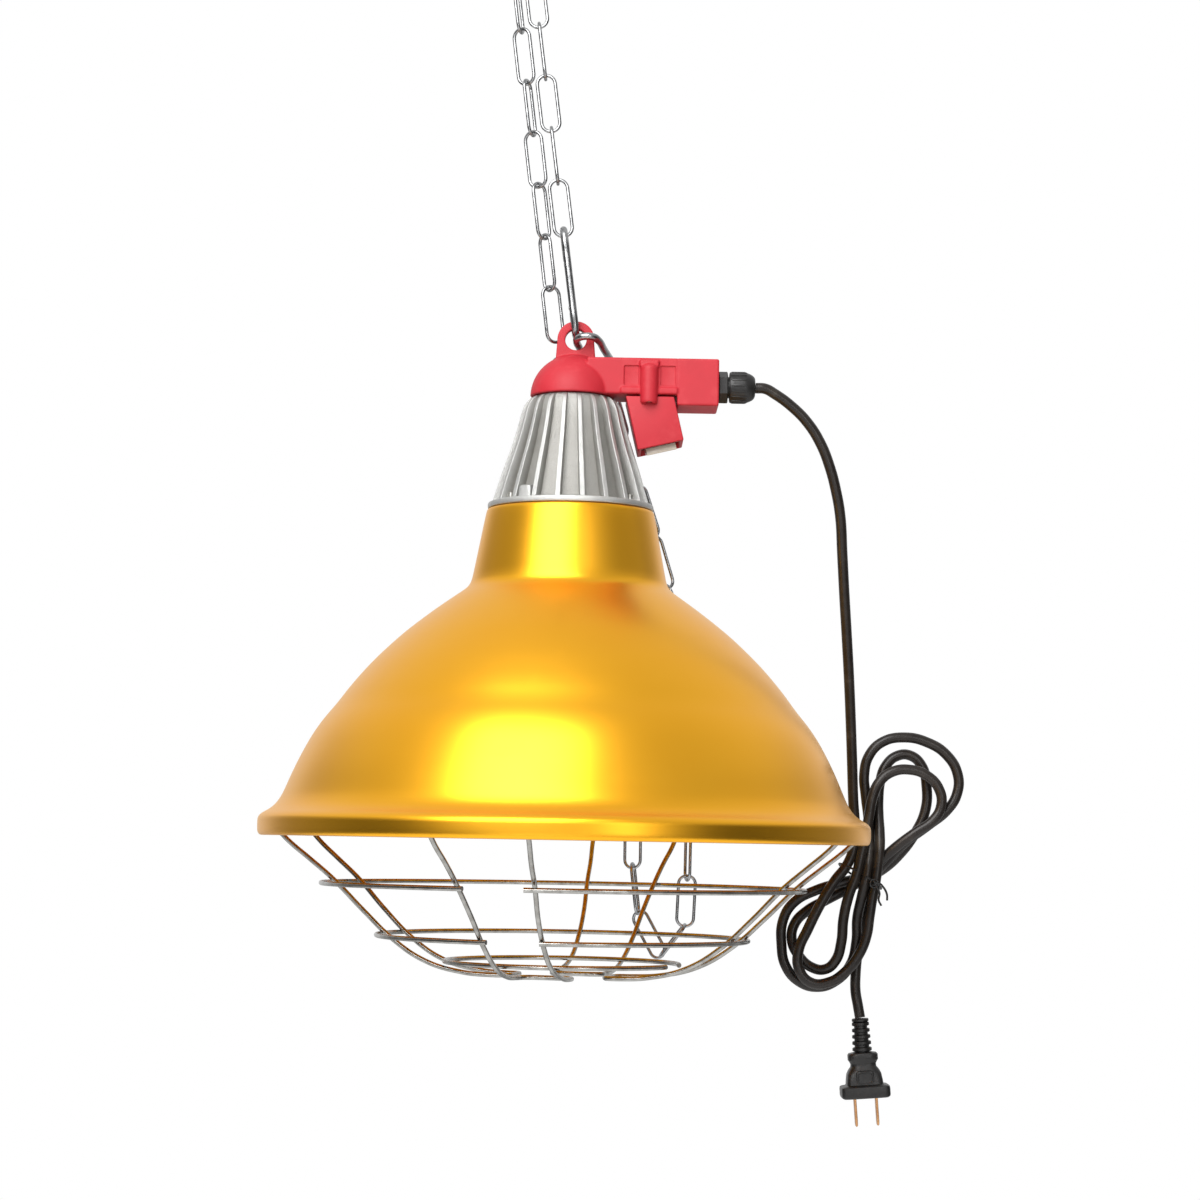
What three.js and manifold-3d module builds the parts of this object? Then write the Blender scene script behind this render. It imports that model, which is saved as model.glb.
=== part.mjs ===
// Heat lamp fixture for poultry and small livestock: a spun gold shade on a finned
// aluminium housing, a red cap with a hanging eye and a switch arm, a wire guard,
// a chain with two snap hooks, and a mains cord with its plug.
// Units are millimetres and +Z is up, along the lamp's own axis.
// The origin is where the chain's hook rests on whatever it is hung from.
import * as THREE from 'three';
import { mergeVertices } from 'three/addons/utils/BufferGeometryUtils.js';
import Module from 'manifold-3d';

const wasm = await Module();
wasm.setup();

// ---- driving dimensions -------------------------------------------------------

const gap = 0.3;            // clearance between pieces that touch or nest

// shade
const rimRadius = 175;
const shadeWall = 1;
const bellHeight = 144;     // rim to the foot of the neck
const neckFootRadius = 57;
const neckTopRadius = 48.4;
const neckHeight = 46;
const clampHoleRadius = 30; // opening in the shade's top, around the lampholder

// finned housing
const flangeRadius = 48;
const flangeThickness = 3.5;
const housingHeight = 66;
const housingTopRadius = 23.5;
const finCount = 20;
const finThickness = 2;
const housingWall = 3;

// cap, arm and switch
const domeRadius = 24.7;
const capWall = 3;
const eyeHoleRadius = 6.2;
const eyeRingRadius = 10.8;
const eyeHeight = 33.7;     // eye centre above the foot of the dome
const eyePlate = 6;
const armDepth = 32;
const armTop = 21.5;        // arm's top above the foot of the dome
const armReach = 84.3;      // lamp axis to the end face of the arm
const endBlockLength = 24;
const endBlockDrop = 5.8;   // end block's underside below the foot of the dome
const switchTilt = 13.5;    // degrees that the switch box leans
const switchWidth = 27;
const switchLength = 29;
const rockerWidth = 17.5;
const rockerLength = 22;

// gland and cord
const glandHeight = 7.5;    // cord's axis above the foot of the dome
const cordDiameter = 6.2;
const glandThread = 7.6;    // radius
const glandHex = 9.3;       // radius over corners
const glandNutRadius = 9.6;
const glandNutLength = 15;

// lampholder
const holderRadius = 18.5;
const holderHeight = 42;
const screwShellRadius = 13.6;
const nippleRadius = 5;
const nippleBore = 3.4;

// guard
const guardWire = 2.8;
const guardDepth = 77;
const legSpread = 16;       // half the width of a hairpin's closed end

// chain and snap hooks
const linkWire = 2;
const linkRadius = 5.3;     // of the wire's centre line at each end
const linkPitch = 31.45;
const hookWire = 4;
const hookBend = 10.5;
const snapWire = 4.4;
const snapLength = 62.6;    // between the wire's centre lines at the two ends
const snapEyeBend = 6.3;
const snapWideBend = 8.6;
const strandLean = 7.75;    // degrees that the chain leans from the lamp's axis

// ---- colours ------------------------------------------------------------------

const finish = (color, roughness, metalness) =>
  new THREE.MeshStandardMaterial({ color, roughness, metalness });
const zinc = finish(0xb9bcc0, 0.3, 1);
const steel = finish(0xa8a8a4, 0.35, 1);
const gold = finish(0xe6a528, 0.3, 1);
const castAluminium = finish(0xa3a49f, 0.6, 1);
const redPlastic = finish(0xdc3640, 0.5, 0);
const creamPlastic = finish(0xd0c6b4, 0.35, 0);
const blackPlastic = finish(0x151515, 0.45, 0);
const cordBlack = finish(0x1c1815, 0.4, 0);
const ceramic = finish(0xe9e6dd, 0.3, 0);
const brass = finish(0xb98b4a, 0.3, 1);
const rubber = finish(0x222222, 0.8, 0);

// ---- shape helpers ------------------------------------------------------------

const radians = THREE.MathUtils.degToRad;

// A closed three.js geometry as a manifold solid, and back.
function solid(geometry) {
  const bare = geometry.clone();
  bare.deleteAttribute('normal');
  bare.deleteAttribute('uv');
  const merged = mergeVertices(bare, 1e-4);
  return new wasm.Manifold(new wasm.Mesh({
    numProp: 3,
    vertProperties: new Float32Array(merged.attributes.position.array),
    triVerts: new Uint32Array(merged.index.array),
  }));
}

function surface(manifold) {
  const mesh = manifold.getMesh();
  const geometry = new THREE.BufferGeometry();
  geometry.setAttribute('position', new THREE.BufferAttribute(mesh.vertProperties, 3));
  geometry.setIndex(new THREE.BufferAttribute(mesh.triVerts, 1));
  geometry.computeVertexNormals();
  return geometry;
}

const join = (...geometries) => surface(geometries.map(solid).reduce((a, b) => a.add(b)));

const cut = (geometry, ...tools) =>
  surface(tools.map(solid).reduce((body, tool) => body.subtract(tool), solid(geometry)));

// A turned piece about Z. The profile is [radius, z] pairs, clockwise around the wall.
function turned(profile, segments = 24) {
  const outline = profile.map(([r, z]) => new THREE.Vector2(r, z));
  if (profile[0][0] !== 0) outline.push(outline[0].clone());
  return new THREE.LatheGeometry(outline, segments).rotateX(Math.PI / 2);
}

const disc = (radius, low, high, segments = 16) =>
  turned([[0, low], [radius, low], [radius, high], [0, high]], segments);

// A hexagonal nut or collar with a round bore.
const nut = (corner, bore, low, high) =>
  cut(disc(corner, low, high, 6), disc(bore, low - 1, high + 1, 16));

const block = (x0, x1, y0, y1, z0, z1) =>
  new THREE.BoxGeometry(x1 - x0, y1 - y0, z1 - z0)
    .translate((x0 + x1) / 2, (y0 + y1) / 2, (z0 + z1) / 2);

// A flat outline in X and Z, made thick along Y.
function plate(outline, y0, y1) {
  const shape = outline instanceof THREE.Shape
    ? outline : new THREE.Shape(outline.map(([x, z]) => new THREE.Vector2(x, z)));
  return new THREE.ExtrudeGeometry(shape, { depth: y1 - y0, bevelEnabled: false, curveSegments: 10 })
    .rotateX(Math.PI / 2).translate(0, y1, 0);
}

const route = (points, tension = 'centripetal') =>
  new THREE.CatmullRomCurve3(points.map((p) => new THREE.Vector3(...p)), false, tension);

// A round bar of even thickness along a curve.
function bar(curve, diameter, steps, sides = 8) {
  const ring = [];
  for (let i = 0; i < sides; i += 1) {
    const turn = (2 * Math.PI * i) / sides;
    ring.push(new THREE.Vector2(Math.cos(turn), Math.sin(turn)).multiplyScalar(diameter / 2));
  }
  return new THREE.ExtrudeGeometry(new THREE.Shape(ring), {
    steps, bevelEnabled: false, extrudePath: curve,
  });
}

// A ring of round wire pulled out along Z into two half-rounds and two straight sides.
function longRing(bend, wire, straight, sides, segments) {
  const ring = new THREE.TorusGeometry(bend, wire / 2, sides, segments)
    .rotateZ(Math.PI / segments).rotateX(Math.PI / 2);
  const at = ring.attributes.position;
  for (let i = 0; i < at.count; i += 1) {
    at.setZ(i, at.getZ(i) + Math.sign(at.getZ(i)) * straight / 2);
  }
  return ring;
}

// Turns and moves a geometry so that its Z runs from one point to another.
function along(geometry, from, to, twist = 0) {
  const direction = new THREE.Vector3().subVectors(to, from).normalize();
  const turn = new THREE.Quaternion().setFromUnitVectors(new THREE.Vector3(0, 0, 1), direction);
  const middle = new THREE.Vector3().addVectors(from, to).multiplyScalar(0.5);
  return geometry.rotateZ(radians(twist)).applyQuaternion(turn).translate(...middle);
}

const object = new THREE.Group();
const lamp = new THREE.Group();
object.add(lamp);

function piece(parent, name, geometry, material) {
  const mesh = new THREE.Mesh(geometry, material);
  mesh.name = name;
  parent.add(mesh);
  return mesh;
}

// ---- heights along the lamp, from the shade's rim ------------------------------

const neckTop = bellHeight + neckHeight;
const flangeFoot = neckTop + gap;
const housingTop = flangeFoot + housingHeight;
const domeFoot = housingTop + gap;
const eyeZ = domeFoot + eyeHeight;
const eyeX = 1.2;
const cordZ = domeFoot + glandHeight;

// ---- shade --------------------------------------------------------------------

// Height along the bell against radius, for the spun curve between rim and neck.
const bell = [
  [rimRadius - 3, 0], [rimRadius, 7.8], [rimRadius - 0.6, 11], [rimRadius - 6, 14.8],
  [rimRadius - 10.5, 18.5], [rimRadius - 14, 25], [rimRadius - 20, 38], [rimRadius - 30, 58],
  [rimRadius - 43, 0.522 * bellHeight], [rimRadius - 57, 0.65 * bellHeight],
  [rimRadius - 71, 0.753 * bellHeight], [neckFootRadius + 28, 0.867 * bellHeight],
  [neckFootRadius + 9, 0.964 * bellHeight], [neckFootRadius, bellHeight],
  [neckFootRadius - 1.6, bellHeight + 5],
];
const shadeOuter = [...bell, [neckTopRadius, neckTop]];

// The same line moved inwards by the wall's thickness.
const inset = (line, wall) => line.map(([r, z], i) => {
  const [ra, za] = line[Math.max(i - 1, 0)];
  const [rb, zb] = line[Math.min(i + 1, line.length - 1)];
  const run = Math.hypot(rb - ra, zb - za);
  return [r - (wall * (zb - za)) / run, z + (wall * (rb - ra)) / run];
});
const shadeInner = inset(bell, shadeWall);
const shadeSpin = turned([
  ...shadeOuter,
  [clampHoleRadius, neckTop],
  [clampHoleRadius, neckTop - shadeWall],
  [neckTopRadius - shadeWall, neckTop - shadeWall],
  ...shadeInner.reverse(),
], 32);

const screwCircle = (clampHoleRadius + neckTopRadius) / 2;
const screwShank = 1.8;
const screwAngles = [90, 210, 330];
const screwAt = (degrees) => [
  screwCircle * Math.cos(radians(degrees)), screwCircle * Math.sin(radians(degrees)),
];
const screwHoles = (low, high) => screwAngles.map((degrees) => {
  const [x, y] = screwAt(degrees);
  return disc(screwShank + gap, low, high, 6).translate(x, y, 0);
});
piece(lamp, 'shade', cut(shadeSpin, ...screwHoles(neckTop - 5, neckTop + 5)), gold);

// ---- finned housing -----------------------------------------------------------

const flangeTop = flangeFoot + flangeThickness;
const finRise = housingTop - flangeTop;
// Radius of the fins' outer edge and of the wall between them at a share of the height.
const finEdge = [
  [flangeRadius - 2.5, 0], [flangeRadius - 6.3, 0.19], [flangeRadius - 9.6, 0.36],
  [flangeRadius - 13, 0.51], [flangeRadius - 17.5, 0.77], [flangeRadius - 19, 0.88],
  [housingTopRadius + 2, 0.955],
];
const core = [
  [flangeRadius - 8, 0], [flangeRadius - 15, 0.36], [housingTopRadius + 2.2, 0.77],
  [housingTopRadius, 0.98], [housingTopRadius - 1, 1],
];
const atHeight = (line) => line.map(([r, share]) => [r, flangeTop + share * finRise]);
const coreLine = atHeight(core);
const housingShell = turned([
  [flangeRadius - 0.5, flangeFoot], [flangeRadius, flangeFoot + 1], [flangeRadius, flangeTop],
  ...coreLine,
  [nippleRadius + gap, housingTop], [nippleRadius + gap, housingTop - housingWall],
  [housingTopRadius - housingWall, housingTop - housingWall],
  [housingTopRadius - housingWall, housingTop - 24],
  [clampHoleRadius, flangeFoot],
], 20);
const finOutline = [
  ...atHeight(finEdge),
  [housingTopRadius - 1.5, flangeTop + 0.95 * finRise],
  [clampHoleRadius + 4.5, flangeTop + 0.2 * finRise],
  [clampHoleRadius + 4.5, flangeTop - 1],
  [flangeRadius - 2.5, flangeTop - 1],
];
const fins = [];
for (let i = 0; i < finCount; i += 1) {
  const turn = radians(90 + (i + 0.5) * (360 / finCount));
  fins.push(plate(finOutline, -finThickness / 2, finThickness / 2).rotateZ(turn));
}
const footBoss = block(-4, 4, -flangeRadius + 3, -flangeRadius + 12, flangeTop - 1, flangeTop + 7)
  .rotateZ(radians(-36));
piece(
  lamp, 'finned_housing',
  cut(join(housingShell, ...fins, footBoss), ...screwHoles(flangeFoot - 1, flangeTop + 6)),
  castAluminium,
);

screwAngles.forEach((degrees, i) => {
  const [x, y] = screwAt(degrees);
  const headRadius = 3.4;
  const head = neckTop - shadeWall - gap;
  const screw = turned([
    [0, head - 2.2], [headRadius - 1, head - 2.2], [headRadius, head - 1.2], [headRadius, head],
    [screwShank, head], [screwShank, flangeTop + 4], [0, flangeTop + 4],
  ], 8).translate(x, y, 0);
  piece(lamp, `shade_screw_${i + 1}`, screw, zinc);
});

// ---- lampholder ---------------------------------------------------------------

const holderTop = housingTop - housingWall - gap;
const holderFoot = holderTop - holderHeight;
const shellBore = screwShellRadius + gap;
const shellRoom = holderTop - 10;
const holder = turned([
  [shellBore, holderFoot], [holderRadius - 1, holderFoot], [holderRadius, holderFoot + 1],
  [holderRadius, holderTop - 9], [holderRadius - 2, holderTop],
  [nippleRadius + gap, holderTop], [nippleRadius + gap, holderTop - 6],
  [nippleBore, holderTop - 6], [nippleBore, shellRoom], [shellBore, shellRoom],
]);
piece(lamp, 'lampholder', holder, ceramic);

piece(lamp, 'screw_shell', turned([
  [screwShellRadius - 0.6, holderFoot + 3], [screwShellRadius, holderFoot + 3],
  [screwShellRadius, shellRoom - 3], [screwShellRadius - 0.6, shellRoom - 3],
]), brass);

piece(lamp, 'centre_contact', turned([
  [0, shellRoom - 4], [5, shellRoom - 2], [5, shellRoom - gap], [0, shellRoom - gap],
], 16), brass);

piece(lamp, 'nipple', turned([
  [nippleBore, holderTop - 6 + gap], [nippleRadius, holderTop - 6 + gap],
  [nippleRadius, domeFoot + 6], [nippleBore, domeFoot + 6],
], 20), zinc);

piece(
  lamp, 'nipple_nut',
  nut(nippleRadius + 4, nippleRadius + gap, domeFoot + 0.5, domeFoot + 4.5), zinc,
);

// ---- cap, with its hanging eye and arm -----------------------------------------

const domeSteps = 6;
const domeLine = (radius) => Array.from({ length: domeSteps + 1 }, (_, i) => {
  const lift = (Math.PI / 2) * (i / domeSteps);
  return i === domeSteps ? [0, radius] : [radius * Math.cos(lift), radius * Math.sin(lift)];
});
const dome = turned([[0, 0], ...domeLine(domeRadius)], 24);
const domeRoom = turned([[0, -1], ...domeLine(domeRadius - capWall)], 16);

const eyeOutline = new THREE.Shape();
const eyeFoot = 0.72 * domeRadius;
eyeOutline.moveTo(eyeX - 11.6, eyeFoot);
eyeOutline.lineTo(eyeX + 11.6, eyeFoot);
eyeOutline.lineTo(eyeX + eyeRingRadius, eyeHeight - 2);
eyeOutline.absarc(eyeX, eyeHeight, eyeRingRadius, radians(-10), radians(190), false);
const eyeLug = cut(
  plate(eyeOutline, -eyePlate / 2, eyePlate / 2),
  plate(new THREE.Shape().absarc(eyeX, eyeHeight, eyeHoleRadius, 0, 2 * Math.PI), -eyePlate, eyePlate),
);

const armHalf = armDepth / 2;
const blockStart = armReach - endBlockLength;
const arm = block(8, blockStart + 1, -armHalf, armHalf, gap, armTop);
const endBlock = block(blockStart, armReach, -armHalf, armHalf, -endBlockDrop, armTop);
const roomLow = 4;
const armRoom = block(
  0, armReach - capWall, -armHalf + capWall, armHalf - capWall, roomLow, armTop - capWall,
);
const endRoom = block(
  blockStart + capWall, armReach - capWall, -armHalf + capWall, armHalf - capWall,
  capWall - endBlockDrop, armTop - capWall,
);
const wireSlot = block(38, 50, -5, 5, -1, roomLow + 1);
const glandHole = disc(glandThread + gap, 0, 2 * capWall + 2, 20)
  .rotateY(Math.PI / 2).translate(armReach - 2 * capWall, 0, glandHeight);

// Raised outside: the bead along the arm's foot and the round boss over the switch.
const beadLow = gap;
const bead = block(28, blockStart + 0.5, -armHalf - 1.2, -armHalf + 1, beadLow, beadLow + 4);
const bossX = 44;
const bossRadius = 5;
const bossOut = -armHalf - 0.5;
const boss = disc(bossRadius, -5.5, armTop - 6, 20).translate(bossX, bossOut, 0);
const screwOut = bossOut - 2;
const bossBore = disc(2.6, -6.5, 4, 12).translate(bossX, screwOut, 0);

// Shallow panels either side of the boss.
const panels = [[29, 38], [50.5, 59]].map(([x0, x1]) =>
  block(x0, x1, -armHalf - 1, -armHalf + 0.8, beadLow + 4.6, armTop - 5.4));

const switchRise = 0.6;
const bossSeat = block(
  bossX - bossRadius - 2, bossX + bossRadius + 2, -armHalf - gap, armHalf, -8, -switchRise + 0.2,
);
const capBody = surface(
  solid(join(dome, eyeLug, arm, endBlock, bead, boss))
    .subtract(solid(domeRoom)).subtract(solid(armRoom)).subtract(solid(endRoom)).subtract(solid(wireSlot))
    .subtract(solid(glandHole)).subtract(solid(bossBore)).subtract(solid(bossSeat))
    .subtract(panels.map(solid).reduce((a, b) => a.add(b))),
).translate(0, 0, domeFoot);
piece(lamp, 'cap', capBody, redPlastic);

piece(lamp, 'boss_screw', turned([
  [0, -5], [2.2, -5], [2.2, -3.4], [1.2, -3.4], [1.2, 3.5], [0, 3.5],
], 10).translate(bossX, screwOut, domeFoot), zinc);

// ---- switch box, switch and rocker ----------------------------------------------

// The box hangs under the arm and leans, so it is drawn upright and turned about its top.
const switchPlace = new THREE.Group();
switchPlace.position.set(44.6, 0, domeFoot - switchRise - gap);
switchPlace.rotation.y = -radians(switchTilt);
lamp.add(switchPlace);
const half = switchWidth / 2;
const wedge = half * Math.tan(radians(switchTilt));
const boxOutline = [
  [-half, wedge], [-half, -switchLength], [half, -switchLength], [half, -wedge],
];
const boxWall = 2;
const room = plate(
  [[-half + boxWall, -switchLength - 1], [half - boxWall, -switchLength - 1],
    [half - boxWall, -9], [-half + boxWall, -9]], -armHalf + boxWall, armHalf - boxWall,
);
const wireHole = disc(4, -20, 20, 12);
piece(
  switchPlace, 'switch_box',
  cut(plate(boxOutline, -armHalf, armHalf), room, wireHole), redPlastic,
);

const bodyHalf = half - boxWall - gap;
const bodyDeep = armHalf - boxWall - gap;
const rockerHalf = rockerWidth / 2;
const rockerDeep = rockerLength / 2;
const rockerFoot = -switchLength - 1.9;
const rockerAxle = -switchLength + 5.6;
const rockerTilt = 10;      // degrees either side of level; at rest the front end stands out
const bezelFoot = -switchLength + 3;
const switchBody = cut(
  block(-bodyHalf, bodyHalf, -bodyDeep, bodyDeep, bezelFoot, -10),
  block(
    -rockerHalf - 0.5, rockerHalf + 0.5, -rockerDeep - 0.8, rockerDeep + 0.8,
    bezelFoot - 1, bezelFoot + 6.5,
  ),
);
piece(switchPlace, 'switch_body', switchBody, blackPlastic);

// The rocker's two faces meet in a shallow vee under its axle.
const rockerSide = new THREE.Shape([
  [-rockerDeep, rockerFoot], [0, rockerFoot + 1.4], [rockerDeep, rockerFoot],
  [rockerDeep - 0.8, rockerFoot + 4], [3, rockerFoot + 6.6], [-3, rockerFoot + 6.6],
  [-rockerDeep + 0.8, rockerFoot + 4],
].map(([y, z]) => new THREE.Vector2(y, z)));
const rocker = new THREE.ExtrudeGeometry(rockerSide, { depth: rockerWidth, bevelEnabled: false })
  .rotateX(Math.PI / 2).rotateZ(Math.PI / 2).translate(-rockerHalf, 0, -rockerAxle)
  .rotateX(radians(rockerTilt)).translate(0, 0, rockerAxle);
piece(switchPlace, 'rocker', rocker, creamPlastic);

// ---- gland --------------------------------------------------------------------

const cordRadius = cordDiameter / 2;
const glandBore = cordRadius + gap;
const glandPlace = new THREE.Group();
glandPlace.position.set(armReach, 0, cordZ);
glandPlace.rotation.y = Math.PI / 2;
lamp.add(glandPlace);
const hexLength = 5.7;
const spigotEnd = hexLength + 9;
const spigotRadius = 6.2;
const glandBody = join(
  turned([[glandBore, -7.5], [glandThread, -7.5], [glandThread, gap + 1], [glandBore, gap + 1]], 20),
  nut(glandHex, glandBore, gap, hexLength),
  turned([
    [glandBore, hexLength - 1], [spigotRadius, hexLength - 1], [spigotRadius, spigotEnd - 4],
    [glandBore, spigotEnd - 4],
  ], 20),
);
piece(glandPlace, 'gland_body', glandBody, blackPlastic);

const nutFoot = hexLength + 0.9;
const nutEnd = nutFoot + glandNutLength;
const nutBore = spigotRadius + gap;
piece(glandPlace, 'gland_nut', turned([
  [nutBore, nutFoot], [glandNutRadius, nutFoot], [glandNutRadius, nutEnd - 4],
  [glandNutRadius - 1.4, nutEnd - 1.4], [glandNutRadius - 4, nutEnd], [glandBore, nutEnd],
  [glandBore, nutEnd - 2], [nutBore, nutEnd - 4],
], 20), blackPlastic);

piece(glandPlace, 'gland_seal', turned([
  [glandBore, spigotEnd - 4 + gap], [nutBore - gap, spigotEnd - 4 + gap],
  [nutBore - gap, nutEnd - 5], [glandBore, nutEnd - 3],
], 16), rubber);

piece(
  glandPlace, 'gland_locknut',
  nut(glandThread + 2.3, glandThread + gap, -capWall - 3.6, -capWall - gap), blackPlastic,
);

// ---- wiring inside the cap --------------------------------------------------------

const leadRadius = 1.2;
[['lead_live', 1], ['lead_neutral', -1]].forEach(([name, side]) => {
  const spread = 1.7 * side;
  const lead = bar(route([
    [armReach - 9, spread, cordZ], [armReach - 20, 3 * spread, cordZ + 3], [52, 3.4 * spread, domeFoot + 14],
    [30, 3 * spread, domeFoot + 14], [12, 2 * spread, domeFoot + 14], [3, spread, domeFoot + 12],
    [0, spread, domeFoot + 7], [0, spread, domeFoot], [0, spread, holderTop - 5],
  ]), 2 * leadRadius, 16, 5);
  piece(lamp, name, lead, side > 0 ? blackPlastic : creamPlastic);
});

// ---- wire guard ---------------------------------------------------------------

// Radius, height and half spacing of a hairpin's legs, from under the rim to the U.
const hairpinLine = [
  [rimRadius - 9.5, 4, 27], [rimRadius - 12.5, -1.5, 26.5], [rimRadius - 29, -0.17 * guardDepth, 23.5],
  [rimRadius - 43, -0.32 * guardDepth, 21.5], [rimRadius - 61, -0.55 * guardDepth, 18.5],
  [rimRadius - 78, -0.75 * guardDepth, 17], [rimRadius - 98, -0.91 * guardDepth, legSpread],
  [rimRadius - 120, -0.985 * guardDepth, legSpread], [rimRadius - 138, -guardDepth, legSpread - 1],
];
const leg = (side) => hairpinLine.map(([r, z, w]) => [side * w, -r, z]);
const turnRadius = hairpinLine.at(-1)[0] - 9;
const hairpin = route([
  ...leg(-1), [-legSpread * 0.6, -turnRadius, -guardDepth], [legSpread * 0.6, -turnRadius, -guardDepth],
  ...leg(1).reverse(),
]);
const firstHairpin = -15;
for (let i = 0; i < 4; i += 1) {
  const wire = bar(hairpin, guardWire, 34, 6).rotateZ(radians(firstHairpin + 90 * i));
  piece(lamp, `guard_hairpin_${i + 1}`, wire, steel);
}

// Open rings welded to the hairpins: radius, height, middle and half width of the opening.
const weldOffset = guardWire + gap;
const guardRings = {
  upper: [rimRadius - 37, -0.32 * guardDepth - 0.55 * weldOffset, -15, 7],
  middle: [rimRadius - 69, -0.63 * guardDepth - 2.2 * weldOffset, -14, 8],
  lower: [rimRadius - 108, -0.955 * guardDepth + 1.25 * weldOffset, 73, 12],
};
Object.entries(guardRings).forEach(([name, [radius, z, opening, halfOpening]]) => {
  const start = radians(-90 + opening + halfOpening);
  const sweep = 2 * Math.PI - 2 * radians(halfOpening);
  class OpenRing extends THREE.Curve {
    getPoint(t, target = new THREE.Vector3()) {
      const turn = start + sweep * t;
      return target.set(radius * Math.cos(turn), radius * Math.sin(turn), z);
    }
  }
  piece(lamp, `guard_ring_${name}`, bar(new OpenRing(), guardWire, 36, 6), steel);
});

// ---- snap hooks ---------------------------------------------------------------

// Drawn in X and Z, the narrow end at the origin and the wide end up. The gate side is +X.
const snapTop = snapLength;
const gateLow = 15;
const gateHigh = 45;
const snapBody = bar(route([
  [snapEyeBend + 0.3, 0, gateLow - gap], [snapEyeBend, 0, snapEyeBend],
  [snapEyeBend * 0.72, 0, 1.9], [0, 0, 0], [-snapEyeBend * 0.72, 0, 1.9],
  [-snapEyeBend, 0, snapEyeBend], [-snapEyeBend - 0.8, 0, 20], [-snapWideBend, 0, snapTop - 14],
  [-snapWideBend, 0, snapTop - 8], [-snapWideBend * 0.7, 0, snapTop - 2.2], [0, 0, snapTop],
  [snapWideBend * 0.7, 0, snapTop - 2.2], [snapWideBend, 0, snapTop - 8],
  [snapWideBend - 0.3, 0, gateHigh + gap + 1],
]), snapWire, 32, 6);
const snapGate = bar(route([
  [snapEyeBend + 0.3, 0, gateLow + gap], [snapWideBend - 0.4, 0, gateHigh],
]), snapWire - 0.8, 1, 6);

const snapTurn = (direction, across) => {
  const up = new THREE.Vector3(...direction).normalize();
  const side = new THREE.Vector3(...across);
  side.addScaledVector(up, -side.dot(up)).normalize();
  const back = new THREE.Vector3().crossVectors(up, side);
  return new THREE.Matrix4().makeBasis(side, back, up);
};

// Snap hook 1 stands in the eye and holds the chain's end.
const strandUp = new THREE.Vector3(-Math.sin(radians(strandLean)), 0, Math.cos(radians(strandLean)));
const snapFoot = new THREE.Vector3(eyeX, 0, eyeZ + eyeHoleRadius - snapWire / 2 - 4 * gap);
const snap1 = snapTurn(strandUp.toArray(), [0, 1, 0]).setPosition(snapFoot);
piece(lamp, 'snap_hook_1', snapBody.clone().applyMatrix4(snap1), zinc);
piece(lamp, 'snap_hook_1_gate', snapGate.clone().applyMatrix4(snap1), zinc);

// Snap hook 2 goes through the eye from the front and lies back over the cap.
const snap2Back = new THREE.Vector3(0.2, 0.95, -0.23).normalize();
const snap2Across = new THREE.Vector3(-1, 0, 0);
const snap2Foot = new THREE.Vector3(eyeX + 5.4, -11, eyeZ + 0.5);
const snap2 = snapTurn(snap2Back.toArray(), snap2Across.toArray()).setPosition(snap2Foot);
piece(lamp, 'snap_hook_2', snapBody.clone().applyMatrix4(snap2), zinc);
piece(lamp, 'snap_hook_2_gate', snapGate.clone().applyMatrix4(snap2), zinc);

// ---- chain above the lamp --------------------------------------------------------

const linkStraight = linkPitch + linkWire + gap - 2 * linkRadius;
const link = () => longRing(linkRadius, linkWire, linkStraight, 5, 12);
const strandFoot = snapFoot.clone()
  .addScaledVector(strandUp, snapLength - snapWire / 2 - gap - linkWire / 2 + (linkWire + gap) / 2);
const joint = (n) => strandFoot.clone().addScaledVector(strandUp, n * linkPitch);

// Links alternate, first face on and then edge on. The sixth is the top link.
const rightLinks = 5;
for (let i = 0; i < rightLinks; i += 1) {
  piece(lamp, `chain_link_right_${i + 1}`, along(link(), joint(i), joint(i + 1), 90 * (i % 2)), zinc);
}
const topFoot = joint(rightLinks);
const topHead = joint(rightLinks + 1);
piece(lamp, 'chain_link_top', along(link(), topFoot, topHead, 90), zinc);

// The other strand hangs from the top link's shoulder, and its links turn by degrees.
const leftTop = topHead.clone().add(new THREE.Vector3(0.2, 2.4, 2.1));
const leftFoot = new THREE.Vector3(-10.6, 12, eyeZ + 2);
const leftTwists = [25, 125, 50, 155, 70, 150, 75, 0];
const leftCount = leftTwists.length;
const leftBend = topFoot.clone().add(new THREE.Vector3(-10.5, 2.4, -3));
const leftJoint = (n) => {
  const point = new THREE.Vector3().lerpVectors(leftFoot, leftBend, n / (leftCount - 1));
  return n === leftCount ? leftTop : point;
};
leftTwists.forEach((twist, i) => {
  const [low, high] = [leftJoint(i), leftJoint(i + 1)];
  const straight = low.distanceTo(high) + linkWire + gap - 2 * linkRadius;
  const ring = longRing(linkRadius, linkWire, straight, 5, 12);
  piece(lamp, `chain_link_left_${i + 1}`, along(ring, low, high, twist), zinc);
});

// ---- hanging hook ---------------------------------------------------------------

// An S of round wire: the lower bend carries the top link, the upper one hangs.
const crown = topHead.clone();
const hookSide = -1.7;
const wireUnderCrown = (hookWire + linkWire) / 2 + gap - (linkWire + gap) / 2 + 0.5;
const hookLow = crown.clone().add(new THREE.Vector3(0, hookSide, -wireUnderCrown));
const bend = (cx, cz, from, to, n) => Array.from({ length: n + 1 }, (_, i) => {
  const turn = radians(from + ((to - from) * i) / n);
  return [cx + hookBend * Math.cos(turn), hookSide, cz + hookBend * Math.sin(turn)];
});
const lowBend = bend(0, hookBend, 200, 450, 10);
const highBend = bend(0, 3 * hookBend, -90, -20 - 270 + 20, 10).slice(1);
const hook = bar(route([...lowBend, ...highBend].map(([x, , z]) => [x, 0, z])), hookWire, 26, 6);
piece(lamp, 'hanging_hook', hook.translate(hookLow.x, hookLow.y, hookLow.z), zinc);
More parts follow.
